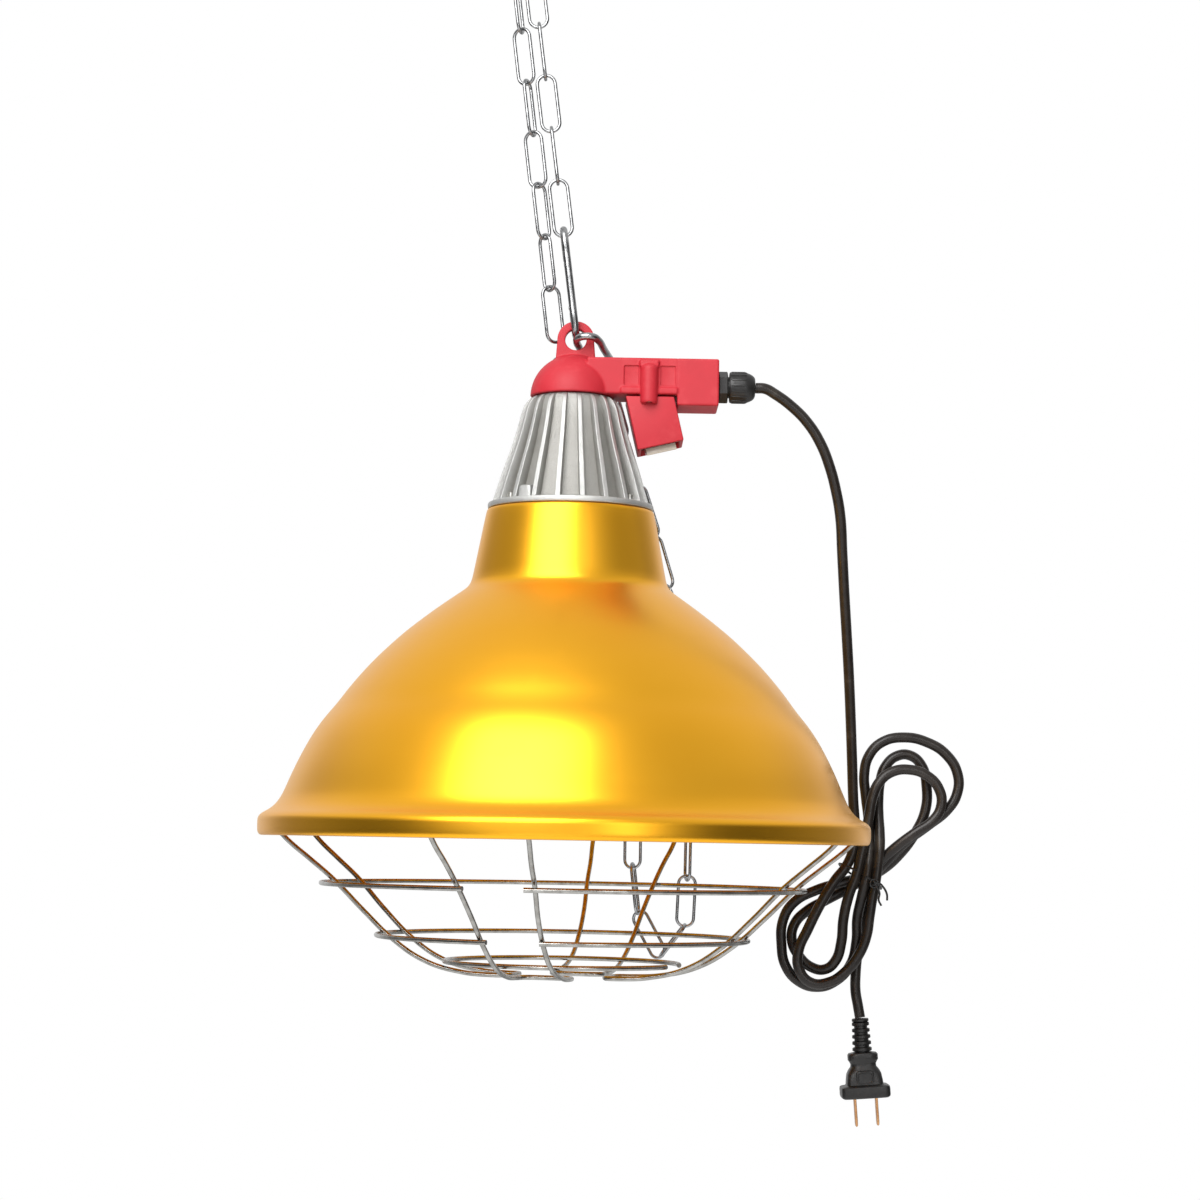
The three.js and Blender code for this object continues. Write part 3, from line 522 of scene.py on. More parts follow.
# --- shade ------------------------------------------------------------------
# Spun from 1 mm aluminium sheet and anodised gold. Its rim is turned down into a band
# that stiffens it, and a tapered neck carries the housing on a flat top.
gold = Coat("gold_anodising", metallic=1.0, coat_weight=0.12, coat_roughness=0.3)
gold_radius, gold_height = gold.round_the_axis()
groove = gold.node("ShaderNodeCombineXYZ", {}, {"X": gold_radius, "Y": gold_height}).outputs[0]
tool_lines = gold.noise(0.0011, 4, groove, 0.7)
broad_lines = gold.noise(0.012, 3, groove, 0.5)
cloud = gold.noise(0.07, 3)
dull_spots = gold.grey(gold.noise(0.009, 6), [(0.62, 0.0), (0.74, 1.0)])
gold.colour(gold.mix(cloud, (0.95, 0.44, 0.016), (0.98, 0.49, 0.025)))
gold.rough(0.3 + 0.05 * tool_lines + 0.03 * broad_lines + 0.03 * dull_spots)
gold.relief((tool_lines, 0.00002, 0.25), (broad_lines, 0.0001, 0.06))

bell = [
    (172, 0.0), (173.6, 0.2), (174.6, 1.4), (175, 3.2), (175, 7.6), (174.9, 9.4), (174.3, 11),
    (172.5, 12.7), (169, 14.6), (166.3, 16.6), (164.2, 18.9), (162, 22.2), (160.1, 26.2), (155.2, 38),
    (150.4, 48), (145, 58), (138.9, 67), (132, 75.2), (125.2, 84.6), (118, 93.4), (111.2, 101),
    (104, 108.2), (94.8, 116.8), (85, 124.8), (75.6, 132), (66.4, 138.6), (61.2, 142.2), (58.4, 144.6),
    (56.9, 147), (56, 150), (55.3, 153.2), (52, 170.8), (48.7, 188.4), (48.1, 189.6), (47.2, 190),
]


def softened(profile, rounds=2):
    """Cuts the corners of a turned profile, so that it curves evenly between its ends."""
    for _ in range(rounds):
        cut = [profile[0]]
        for (ra, za), (rb, zb) in zip(profile, profile[1:]):
            cut += [(0.75 * ra + 0.25 * rb, 0.75 * za + 0.25 * zb),
                    (0.25 * ra + 0.75 * rb, 0.25 * za + 0.75 * zb)]
        profile = cut + [profile[-1]]
    return profile


def walled(line, wall):
    """The same line a wall's thickness further in, from its last point to its first."""
    inner = []
    for i, (r, z) in enumerate(line):
        (ra, za), (rb, zb) = line[max(i - 1, 0)], line[min(i + 1, len(line) - 1)]
        run = math.hypot(rb - ra, zb - za)
        inner.append((r - wall * (zb - za) / run, z + wall * (rb - ra) / run))
    return inner[::-1]


shade_outside = softened(bell)
shade_inside = walled(softened(bell[5:-3]), 0.95)
shade = turned("spun_shade", [*shade_outside, (30, 190), (29.9, 189.5), (30, 189), (46.6, 189),
                              *shade_inside,
                              (173.9, 8.2), (173.9, 2.4), (173.2, 1.1), (172.2, 0.7)],
               gold, shifted(0, 0, 0), 192, closed=True)
stands_for(shade, "lamp", "gold_shade", "shade")


# --- finned housing ---------------------------------------------------------
# Die-cast aluminium, left rough. Twenty fins stand round a hollow core on a flange that is
# screwed to the shade's flat top, and a small cast boss stands at the front left.
cast = Coat("cast_aluminium", metallic=0.85, specular_ior_level=0.5)
grain = cast.noise(0.0009, 5, roughness=0.7)
blotch = cast.noise(0.012, 5)
cast_radius, cast_height = cast.round_the_axis()
fin_lean = 0.3            # how much the fins' edges draw in for each unit of height
fin_edge_at_rim = 0.1036  # radius of the fins' edges if they went on down to the rim
valley_shade_steepness = 160    # how fast the painted shade between the fins sets in, for each metre
below_edge = fin_edge_at_rim - fin_lean * cast_height - cast_radius
# Painted shade: the colour darkens between the fins, more so the further below the fins' edges, where shade
# falls.
valley_shade = cast.grey(below_edge * valley_shade_steepness, [(0.15, 0.0), (0.75, 1.0)])
bright = cast.mix(blotch, (0.46, 0.46, 0.445), (0.66, 0.66, 0.64))
cast.colour(cast.mix(valley_shade * 0.7, bright, (0.2, 0.19, 0.17)))
cast.rough(0.34 + 0.25 * grain)
cast.relief((grain, 0.0005, 0.8), (cast.noise(0.006, 3), 0.0006, 0.25))

fin_edge = softened([
    (45.6, 193.2), (45.4, 194.6), (41.9, 206), (38.6, 216.5), (35.2, 226), (31.2, 240), (29.6, 247),
    (27.6, 252.2), (24.2, 255.6), (22.6, 255.8), (22.6, 251),
], 1)
fin_line = [*fin_edge, (30, 224), (33, 206), (33, 193.2)]


def prism(front, back):
    """A closed bmesh between two outlines with the same number of places."""
    mesh = bmesh.new()
    front = [mesh.verts.new(place) for place in front]
    back = [mesh.verts.new(place) for place in back]
    mesh.faces.new(front)
    mesh.faces.new(back[::-1])
    for i in range(len(front)):
        j = (i + 1) % len(front)
        mesh.faces.new((front[i], back[i], back[j], front[j]))
    return mesh


fin_root, fin_run = 20, 26              # a fin starts to widen at this radius, over this distance
fin_half_root, fin_half_gain = 0.95, 0.5  # half its thickness at the root, and what the edge adds


def fin_half(radius):
    """Half of a fin's thickness, which grows towards its edge."""
    crown = min(1.0, max(0.0, (radius - fin_root) / fin_run))
    return fin_half_root + fin_half_gain * crown


fin = settled("one_fin", prism(*[[(r / 1000, side * fin_half(r) / 1000, z / 1000) for r, z in fin_line]
                                 for side in (-1, 1)]), cast)
softening = fin.modifiers.new("cast_edge", "BEVEL")
softening.width = 0.0006
softening.segments = 3
softening.limit_method = "ANGLE"
softening.angle_limit = math.radians(50)


def hardened(source):
    """Applies an object's modifiers and keeps the result as its mesh."""
    bpy.context.view_layer.update()
    finished = source.evaluated_get(bpy.context.evaluated_depsgraph_get())
    mesh = bpy.data.meshes.new_from_object(finished)
    source.modifiers.clear()
    source.data = mesh


hardened(fin)


def ring_tree(name):
    """Geometry nodes that repeat a piece round the Z axis at even steps, and paint it."""
    tree, add, join, given = started_tree(name, "Ring", Piece=("Geometry", None), Count=("Int", 12),
                                          First_Turn=("Float", 0.0))
    points = add("GeometryNodePoints")
    join(given.outputs["Count"], points.inputs["Count"])
    step = tree_maths(tree, "DIVIDE", 2 * math.pi, given.outputs["Count"])
    index = add("GeometryNodeInputIndex").outputs[0]
    around = add("ShaderNodeCombineXYZ")
    join(tree_maths(tree, "MULTIPLY_ADD", index, step, given.outputs["First Turn"]), around.inputs["Z"])
    facing = add("FunctionNodeEulerToRotation")
    join(around.outputs[0], facing.inputs[0])
    copies = add("GeometryNodeInstanceOnPoints")
    join(points.outputs[0], copies.inputs["Points"])
    join(given.outputs["Piece"], copies.inputs["Instance"])
    join(facing.outputs[0], copies.inputs["Rotation"])
    return painted(tree, given, copies.outputs[0], "Ring")


even_ring = ring_tree("even_ring")
fins = grown(fin, even_ring, "fins", Count=20, First_Turn=math.radians(9), Finish=cast.material)
fins.data.transform(shifted(0, 0, 0))
core = turned("housing_core", [
    (30, 190.3), (47.2, 190.3), (47.8, 190.6), (48, 191.2), (48, 192.9), (47.7, 193.5), (47, 193.8),
    (41, 194), (39.6, 194.8), (38.6, 197), (35.4, 208), (32.6, 217.5), (29.4, 229), (26.4, 242),
    (24.2, 251.5), (23.3, 254.6), (22.5, 256.1), (20, 256.3), (5.3, 256.3), (5.3, 253.3), (20.5, 253.3),
    (20.5, 232.3),
], cast, shifted(0, 0, 0), 96, closed=True)
foot_boss = lofted("foot_boss", [(193.2, 4.6, 4.9, 6), (198.6, 4.3, 4.6, 6), (200, 3.9, 4.2, 5),
                                 (200.7, 3, 3.2, 4)], cast,
                   shifted(0, 0, 0) @ Matrix.Rotation(-math.radians(36), 4, "Z")
                   @ Matrix.Translation((0, -0.0402, 0)), 40)
housing = joined("cast_housing", [core, fins, foot_boss])
stands_for(housing, "lamp", "cast_housing", "finned_housing")


# --- cap, with its hanging eye and switch arm -------------------------------
# One red nylon moulding: a dome over the housing's top, a lug with the hanging eye, and a
# hollow arm to one side that ends in a thicker block for the cable gland.
red = Coat("red_nylon", specular_ior_level=0.42)
mottle = red.noise(0.014, 5)
spark = red.noise(0.00055, 3)
worn = red.grey(red.noise(0.02, 7, roughness=0.65), [(0.56, 0.0), (0.7, 1.0)])
red.colour(red.mix(worn * 0.25, red.mix(mottle, (0.43, 0.012, 0.022), (0.53, 0.02, 0.034)),
                   (0.62, 0.07, 0.08)))
red.rough(0.44 + 0.16 * spark + 0.08 * mottle)
red.relief((spark, 0.00012, 0.35), (red.noise(0.004, 2), 0.0003, 0.12))


def slab(name, x0, x1, y0, y1, z0, z1, coat, round_edge=0.0):
    """A block between places on the lamp in millimetres, with its edges rounded."""
    mesh = bmesh.new()
    bmesh.ops.create_cube(mesh, size=1)
    low, high = at(x0, y0, z0), at(x1, y1, z1)
    bmesh.ops.scale(mesh, vec=high - low, verts=mesh.verts)
    bmesh.ops.translate(mesh, vec=(low + high) / 2, verts=mesh.verts)
    return settled(name, mesh, coat, round_edge=round_edge)


def cut_from(target, tools):
    """Takes closed tools away from a closed body."""
    for tool in tools:
        saw = target.modifiers.new("cut", "BOOLEAN")
        saw.operation = "DIFFERENCE"
        saw.solver = "EXACT"
        saw.object = tool
    hardened(target)
    for tool in tools:
        bpy.data.objects.remove(tool)


def moulded(target, grain_size, rounds):
    """Fuses overlapping closed bodies into one skin with small fillets, as a moulding has."""
    fuse = target.modifiers.new("fuse", "REMESH")
    fuse.mode = "VOXEL"
    fuse.voxel_size = grain_size
    relax = target.modifiers.new("relax", "SMOOTH")
    relax.factor = 0.5
    relax.iterations = rounds
    hardened(target)
    target.data.shade_smooth()


def arc(centre, radius, turns):
    """Places on a circle, one for each turn in degrees."""
    return [(centre[0] + radius * math.cos(math.radians(turn)),
             centre[1] + radius * math.sin(math.radians(turn)))
            for turn in turns]


dome_foot = 256.6
dome_radius = 24.7
dome = turned("dome", [(0, 0), *arc((0, 0), dome_radius, range(0, 90, 3)), (0, dome_radius)], red,
              shifted(0, 0, dome_foot), 96)
eye_x, eye_z, eye_hole, eye_ring = 1.2, 290.3, 6.2, 10.8
lug_outer = [(eye_x + 11.9, 272), (eye_x + 11.4, 281)]
lug_outer += arc((eye_x, eye_z), eye_ring, range(-8, 190, 6))
lug_outer += [(eye_x - 11.4, 281), (eye_x - 11.9, 272)]
lug = settled("lug", prism(*[[at(x, y, z) for x, z in lug_outer] for y in (-3, 3)]), red)
eye_bore = turned("eye_bore", [(0, -5), (eye_hole, -5), (eye_hole, 5), (0, 5)], red,
                  shifted(eye_x, 0, eye_z) @ Matrix.Rotation(math.pi / 2, 4, "X"), 64)
cut_from(lug, [eye_bore])
arm = slab("arm", 8, 61, -16, 16, 256.9, 278.1, red, 1.0)
end_block = slab("end_block", 60.3, 84.3, -16, 16, 250.8, 278.1, red, 0.8)
bead = slab("bead", 27.5, 60.6, -17.2, -14, 256.9, 260.9, red, 0.9)
back_bead = slab("back_bead", 27.5, 60.6, 14, 16.6, 256.9, 260.9, red, 0.9)
boss = turned("boss", [(0, 251.1), (4.2, 251.1), (4.9, 251.9), (5, 253), (5, 272.1), (4.2, 273.3),
                       (2.8, 274), (0, 274.2)],
              red, shifted(44, -16.5, 0), 64)
collar = slab("boss_collar", 38.4, 49.6, -18.4, -14, 272.2, 276.6, red, 0.9)
cap = joined("red_cap", [dome, lug, arm, end_block, bead, back_bead, boss, collar])
moulded(cap, 0.00055, 3)
cut_from(cap, [
    slab("panel", 29.5, 38, -17, -15.2, 262, 273.4, red, 0.4),
    slab("panel", 50.5, 59.2, -17, -15.2, 262, 273.4, red, 0.4),
    turned("screw_seat", [(0, 250), (2.7, 250), (2.7, 260.5), (0, 260.5)], red, shifted(44, -18.5, 0), 40),
    slab("seat", 37, 51, -16.3, 17, 246, 256.2, red),
    turned("gland_hole", [(0, -6), (7.9, -6), (7.9, 3), (0, 3)], red, shifted(84.3, 0, 264.1), 64,
           axis="X"),
])
stands_for(cap, "lamp", "red_plastic", "cap")


# --- boss screw -------------------------------------------------------------
# A small zinc-plated pan-head screw, sunk in the round boss, that closes the arm.
plated = Coat("plated_fixings", metallic=1.0)
plated.two_tone(0.003, 5, (0.42, 0.41, 0.37), (0.66, 0.66, 0.63))
plated.rough(0.24 + 0.22 * plated.noise(0.001, 4))
plated.relief((plated.noise(0.0006, 3), 0.00006, 0.4))


def pan_head(name, place, head_radius, head_high, shank_radius, shank_long):
    """A pan-head screw with a cross recess, its head down and its shank up."""
    screw = turned(name, softened([
        (0, -head_high), (head_radius * 0.6, -head_high), (head_radius * 0.95, -head_high * 0.6),
        (head_radius, -0.25), (head_radius, 0)], 1) + [
        (shank_radius, 0), (shank_radius, shank_long), (0, shank_long)], plated, None, 40)
    arms = []
    for turn in (0, 90):
        slot = lofted("recess", [(-head_high - 1, 0.32, head_radius * 0.62, 8),
                                 (-head_high + 0.9, 0.22, head_radius * 0.4, 8)],
                      plated, Matrix.Rotation(math.radians(turn), 4, "Z"), 16)
        arms.append(slot)
    cut_from(screw, arms)
    screw.data.transform(place)
    return screw


boss_screw = pan_head("arm_screw", shifted(44, -18.5, 253.4), 2.2, 1.5, 1.2, 6)
stands_for(boss_screw, "lamp", "fixings", "boss_screw")


# --- switch box and rocker --------------------------------------------------
# A red nylon box clipped under the arm, leaning with its foot outwards. A black frame in
# its open foot holds a glossy cream rocker, whose front end stands out at rest.
box_lean = math.radians(13.5)
switch_place = shifted(44.6, 0, 255.7) @ Matrix.Rotation(-box_lean, 4, "Y")


def plate(name, outline, y0, y1, coat, place, round_edge):
    """A flat outline in X and Z millimetres made thick along Y, with rounded edges."""
    mesh = prism(*[[(x / 1000, y / 1000, z / 1000) for x, z in outline] for y in (y0, y1)])
    return settled(name, mesh, coat, place, round_edge=round_edge)


box_half = 13.5
box_slope = box_half * math.tan(box_lean)
switch_box = plate("switch_case", [(-box_half, box_slope), (-box_half, -29), (box_half, -29),
                                   (box_half, -box_slope)], -16, 16, red,
                   switch_place, 0.7)
cut_from(switch_box, [
    plate("room", [(-11.5, -31), (11.5, -31), (11.5, -9), (-11.5, -9)], -14, 14, red, switch_place, 0.4),
])
stands_for(switch_box, "lamp", "red_plastic", "switch_box")

cream = Coat("cream_rocker", specular_ior_level=0.5)
cream.colour(cream.ramp(cream.noise(0.005, 4), [(0.3, (0.60, 0.53, 0.43)), (0.75, (0.74, 0.68, 0.58))]))
cream.rough(0.16 + 0.12 * cream.noise(0.003, 4))
cream.relief((cream.noise(0.002, 3), 0.00005, 0.2))
rocker_side = softened([(-11, -30.9), (0, -29.5), (11, -30.9)], 1)[1:-1]
rocker_outline = [(-11, -30.4), (-10.6, -30.85), *rocker_side, (10.6, -30.85), (11, -30.4), (10.2, -26.9),
                  (3, -24.3),
                  (-3, -24.3), (-10.2, -26.9)]
rocker_turn = (Matrix.Translation((0, 0, -0.0234)) @ Matrix.Rotation(math.radians(10), 4, "X")
               @ Matrix.Translation((0, 0, 0.0234)) @ Matrix.Rotation(math.pi / 2, 4, "Z"))
rocker = plate("switch_rocker_cap", rocker_outline, -8.75, 8.75, cream, switch_place @ rocker_turn, 0.3)
stands_for(rocker, "switch_rocker", "cream_plastic", "rocker")


def keeps(coat, *nodes):
    """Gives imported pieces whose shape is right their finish."""
    for node in nodes:
        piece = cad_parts[node]
        piece.data.materials.clear()
        piece.data.materials.append(coat.material)


keeps(black_skin, "switch_body")


# --- cable gland ------------------------------------------------------------
# Black nylon, screwed into the arm's end. A hexagon to hold it by, and a ribbed nut with a
# rounded nose that squeezes a rubber seal on the cord.
gland_place = shifted(84.3, 0, 264.1)
hexagon = turned("gland_hexagon", [(3.4, 0.3), (8.6, 0.3), (9.3, 0.8), (9.3, 5.2), (8.7, 5.7), (3.4, 5.7)],
                 black_skin,
                 gland_place, 6, axis="X", closed=True)
hexagon.data.set_sharp_from_angle(angle=math.radians(20))
thread = turned("gland_thread", [(3.4, -7.5), (7.4, -7.5), (7.4, 1.3), (3.4, 1.3)], black_skin,
                gland_place, 48, axis="X",
                closed=True)
spigot = turned("gland_spigot", [(3.4, 4.7), (6.2, 4.7), (6.2, 10.7), (3.4, 10.7)], black_skin,
                gland_place, 48, axis="X",
                closed=True)
gland = joined("gland_body_black", [hexagon, thread, spigot])
stands_for(gland, "lamp", "black_plastic", "gland_body")

nut_skin = turned("nut_skin", softened([(6.5, 6.6), (8.6, 6.6), (9.0, 7.2), (9.0, 14.6), (8.9, 16.4),
                                        (7.6, 19.6), (6.2, 21.2),
                                        (4.6, 21.7), (3.5, 21.5)], 1) + [(3.4, 19.6), (6.5, 17.6)],
                                        black_skin,
                  None, 80, closed=True)
rib = lofted("nut_rib", [(7.4, 0.2, 0.3, 4), (8.2, 0.55, 0.62, 4), (15.4, 0.55, 0.62, 4),
                         (16.6, 0.2, 0.3, 4)], black_skin,
             Matrix.Translation((0.00885, 0, 0)), 12)
ribs = grown(rib, even_ring, "nut_ribs", Count=16, Finish=black_skin.material)
gland_nut = joined("gland_nut_black", [nut_skin, ribs])
gland_nut.data.transform(gland_place @ Matrix.Rotation(math.pi / 2, 4, "Y"))
stands_for(gland_nut, "lamp", "black_plastic", "gland_nut")
rubber = Coat("seal_rubber", specular_ior_level=0.3)
rubber.two_tone(0.002, 4, (0.02, 0.02, 0.02), (0.04, 0.04, 0.04))
rubber.rough(0.7 + 0.2 * rubber.noise(0.001, 3))
rubber.relief((rubber.noise(0.0006, 3), 0.0001, 0.4))
keeps(rubber, "gland_seal")
keeps(black_skin, "gland_locknut", "lead_live")


# --- lampholder and its fixings ---------------------------------------------
# A glazed ceramic holder hangs in the housing on a threaded nipple. Inside it a rolled brass
# shell takes the bulb. Three screws go up through the shade's flat top into the flange.
glaze = Coat("ceramic_glaze", specular_ior_level=0.55, coat_weight=0.4, coat_roughness=0.08)
speck = glaze.grey(glaze.noise(0.0016, 3), [(0.68, 0.0), (0.74, 1.0)])
glaze.colour(glaze.mix(speck, glaze.ramp(glaze.noise(0.02, 3),
                                         [(0.3, (0.70, 0.67, 0.60)), (0.7, (0.80, 0.78, 0.72))]),
                       (0.42, 0.36, 0.28)))
glaze.rough(0.16 + 0.1 * glaze.noise(0.004, 3))
glaze.relief((glaze.noise(0.005, 2), 0.0002, 0.25))
keeps(glaze, "lampholder")
rolled = [(13.05 + 0.42 * math.cos(2 * math.pi * (z - 214) / 3.62),
           z) for z in [214 + 0.3 * i for i in range(87)]]
screw_shell = turned("rolled_shell", [*rolled, *[(r - 0.35, z) for r, z in reversed(rolled)]], brass,
                     shifted(0, 0, 0), 72, closed=True)
stands_for(screw_shell, "lamp", "brass", "screw_shell")
keeps(brass, "centre_contact")
keeps(plated, "nipple", "nipple_nut")
core_skin = Coat("core_insulation", specular_ior_level=0.4)
core_skin.two_tone(0.004, 3, (0.52, 0.46, 0.36), (0.62, 0.56, 0.45))
core_skin.rough(0.35 + 0.2 * core_skin.noise(0.002, 3))
keeps(core_skin, "lead_neutral")
screw_circle = 39.2
for i, (x, y) in enumerate(arc((0, 0), screw_circle, (90, 210, 330))):
    shade_screw = pan_head(f"shade_fixing_{i + 1}", shifted(x, y, 188.7), 3.4, 2.2, 1.8, 9.1)
    stands_for(shade_screw, "lamp", "fixings", f"shade_screw_{i + 1}")


# --- wire guard -------------------------------------------------------------
# Bright zinc-plated spring wire, 2.8 mm thick. Four hairpins spring in under the rim and
# meet below the bulb. Three open rings are spot welded to them.
guard_zinc = Coat("guard_wire", metallic=1.0)
guard_zinc.two_tone(0.006, 5, (0.26, 0.25, 0.23), (0.46, 0.46, 0.44))
guard_zinc.rough(0.16 + 0.12 * guard_zinc.noise(0.0025, 4))
guard_zinc.relief((guard_zinc.noise(0.003, 3), 0.00004, 0.15))
guard_thick = 0.0028
leg_line = [(165.5, 4, 27), (158, -3.4, 25.8), (146, -13.1, 23.5), (132, -24.6, 21.5), (114, -42.4, 18.5),
            (97, -57.8, 17),
            (77, -70.1, 16), (55, -75.8, 16), (37, -77, 15.4)]
u_bend = [(31, -77, 14.2), (28.4, -77, 10.6), (27.8, -77, 6)]
half_pin = [*leg_line, *u_bend]
hairpins = []
for i in range(4):
    turn = Matrix.Rotation(math.radians(-15 + 90 * i), 3, "Z")
    line = [Vector((-w, -r, z)) for r, z, w in half_pin] + [Vector((w, -r, z)) for r, z,
                                                            w in reversed(half_pin)]
    hairpins.append([tuple(turn @ place) for place in line])
hairpin_wires = wire("guard_hairpins", hairpins, guard_thick, guard_zinc)
stands_for(hairpin_wires, "lamp", "guard_wire", *[f"guard_hairpin_{i + 1}" for i in range(4)])
rings = []
for ring_radius, ring_z, opening, half_opening in ((138, -26.35, -15, 7), (106, -55.33, -14, 8),
                                                   (67, -69.66, 73, 12)):
    start = -90 + opening + half_opening
    sweep = 360 - 2 * half_opening
    turns = [start + sweep * i / 48 for i in range(49)]
    rings.append([(x, y, ring_z) for x, y in arc((0, 0), ring_radius, turns)])
guard_rings = wire("guard_rings", rings, guard_thick, guard_zinc)
stands_for(guard_rings, "lamp", "guard_wire", "guard_ring_upper", "guard_ring_middle", "guard_ring_lower")


# --- snap hooks -------------------------------------------------------------
# Two zinc-plated snap hooks bent from 4.4 mm wire, each with a straight sprung gate on a
# pin. One stands in the red eye and carries the chain, the other lies back over the cap.
zinc = Coat("bright_zinc", metallic=1.0)
zinc.two_tone(0.004, 5, (0.24, 0.245, 0.25), (0.46, 0.465, 0.47))
zinc.rough(0.15 + 0.2 * zinc.noise(0.003, 4))
zinc.relief((zinc.noise(0.0014, 3), 0.00005, 0.25), (zinc.noise(0.004, 2), 0.0002, 0.12))
snap_line = [(6.6, 14.7), (6.3, 6.3), (4.5, 1.9), (0, 0), (-4.5, 1.9), (-6.3, 6.3), (-7.1, 20),
             (-8.6, 48.6), (-8.6, 54.6),
             (-6, 60.4), (0, 62.6), (6, 60.4), (8.6, 54.6), (8.3, 46.3)]


def snap_place(foot, up, side):
    """The frame of a snap hook: its foot, the way it points and the side of its gate."""
    up = Vector(up).normalized()
    side = Vector(side)
    side = (side - up * side.dot(up)).normalized()
    place = Matrix((side, up.cross(side), up)).transposed().to_4x4()
    return shifted(*foot) @ place


strand_lean = math.radians(7.75)
strand_up = Vector((-math.sin(strand_lean), 0, math.cos(strand_lean)))
upper_foot = Vector((1.2, 0, 293.1))
snap_wire, gate_wire = 0.0044, 0.0034
snaps = [("upper", snap_place(upper_foot, strand_up, (0, 1, 0)), 1, "snap_upper", "snap_upper_gate"),
         ("lower", snap_place((6.6, -11, 290.8), (0.2, 0.95, -0.23), (-1, 0, 0)), 2, "lamp",
          "snap_lower_gate")]
for name, place, number, hook_body, gate_body in snaps:
    points = [place @ Vector((x / 1000, 0, z / 1000)) for x, z in snap_line]
    hook = wire(f"snap_hook_{name}", [points], snap_wire, zinc, 20)
    gate_line = [place @ Vector((x / 1000, 0, z / 1000)) for x,
                 z in ((6.6, 15.6), (7.0, 23), (7.8, 38), (8.2, 45))]
    gate = wire(f"snap_gate_{name}_bar", [gate_line], gate_wire, zinc, 16)
    pin_place = place @ Matrix.Translation((0.0066, 0, 0.0178)) @ Matrix.Rotation(math.pi / 2, 4, "X")
    pin = turned("pin", softened([(0, -2.4), (0.9, -2.4), (1.1, -2.1), (1.1, 2.1), (0.9, 2.4), (0, 2.4)],
                                 1), zinc,
                 pin_place, 20)
    sleeve_place = place @ Matrix.Translation((0.0082, 0, 0.0425))
    sleeve = turned("sleeve", [(0, -0.6), (1.9, -0.4), (2.1, 0.4), (2.1, 2.2), (1.6, 2.7), (0, 2.8)], zinc,
                    sleeve_place, 24)
    gate = joined(f"snap_gate_{name}", [gate, pin, sleeve])
    stands_for(hook, hook_body, "zinc_chain", f"snap_hook_{number}")
    stands_for(gate, gate_body, "zinc_chain", f"snap_hook_{number}_gate")


# --- chain ------------------------------------------------------------------
# Zinc-plated straight link chain of 2 mm wire. The right strand and a top link carry the lamp,
# the left strand comes back down from the top link, and the spare hangs over the shade's back.
def chain_tree(name):
    """Geometry nodes that set a welded link on every point, turned and stretched as it says."""
    tree, add, join, given = started_tree(name, "Chain", Joints=("Geometry", None), Wire=("Float", 0.002),
                                          Bend=("Float", 0.0053), Length=("Float", 0.03375))
    oblong = add("GeometryNodeCurvePrimitiveQuadrilateral")
    join(tree_maths(tree, "MULTIPLY", given.outputs["Bend"], 2), oblong.inputs["Width"])
    join(given.outputs["Length"], oblong.inputs["Height"])
    rounded = add("GeometryNodeFilletCurve")
    rounded.mode = "POLY"
    rounded.inputs["Count"].default_value = 8
    join(oblong.outputs["Curve"], rounded.inputs["Curve"])
    join(tree_maths(tree, "MULTIPLY", given.outputs["Bend"], 0.999), rounded.inputs["Radius"])
    upright = add("GeometryNodeTransform")
    upright.inputs["Rotation"].default_value = (math.pi / 2, 0, 0)
    join(rounded.outputs["Curve"], upright.inputs["Geometry"])
    section = add("GeometryNodeCurvePrimitiveCircle")
    section.inputs["Resolution"].default_value = 12
    join(tree_maths(tree, "MULTIPLY", given.outputs["Wire"], 0.5), section.inputs["Radius"])
    link = add("GeometryNodeCurveToMesh")
    join(upright.outputs["Geometry"], link.inputs["Curve"])
    join(section.outputs["Curve"], link.inputs["Profile Curve"])
    smooth = add("GeometryNodeSetShadeSmooth")
    join(link.outputs["Mesh"], smooth.inputs["Geometry"])
    copies = add("GeometryNodeInstanceOnPoints")
    join(given.outputs["Joints"], copies.inputs["Points"])
    join(smooth.outputs["Geometry"], copies.inputs["Instance"])
    for label, kind, socket in (("turn", "QUATERNION", "Rotation"), ("stretch", "FLOAT_VECTOR", "Scale")):
        stored = add("GeometryNodeInputNamedAttribute")
        stored.data_type = kind
        stored.inputs["Name"].default_value = label
        join(stored.outputs["Attribute"], copies.inputs[socket])
    return painted(tree, given, copies.outputs[0], "Chain")


straight_link_chain = chain_tree("straight_link_chain")
link_span = 33.75   # length of one link along its wire's middle, in millimetres
link_pitch = 31.45  # from one joint to the next
joint_reach = 2.3   # how far a link goes on past its two joints where the chain hangs
drape_reach = 1.1   # and where it lies slack, which bends the strand more


def chain(name, links, body, *nodes):
    """links: (from, to, twist in degrees, extra length beyond the two joints), in millimetres."""
    data = bpy.data.meshes.new(name + "_joints")
    data.from_pydata([(Vector(a) + Vector(b)) / 2 / 1000 + rim_centre for a, b, _, _ in links], [], [])
    data.attributes.new("turn", "QUATERNION", "POINT")
    data.attributes.new("stretch", "FLOAT_VECTOR", "POINT")
    turn, stretch = data.attributes["turn"], data.attributes["stretch"]
    for i, (a, b, twist, extra) in enumerate(links):
        run = Vector(b) - Vector(a)
        facing = Vector((0, 0, 1)).rotation_difference(run.normalized()).to_matrix() @ Matrix.Rotation(
            math.radians(twist), 3, "Z")
        turn.data[i].value = facing.to_quaternion()
        stretch.data[i].vector = (1, 1, (run.length + extra) / link_span)
    joints = linked(name + "_joints", data)
    made = grown(joints, straight_link_chain, name, Finish=zinc.material)
    stands_for(made, body, "zinc_chain", *nodes)


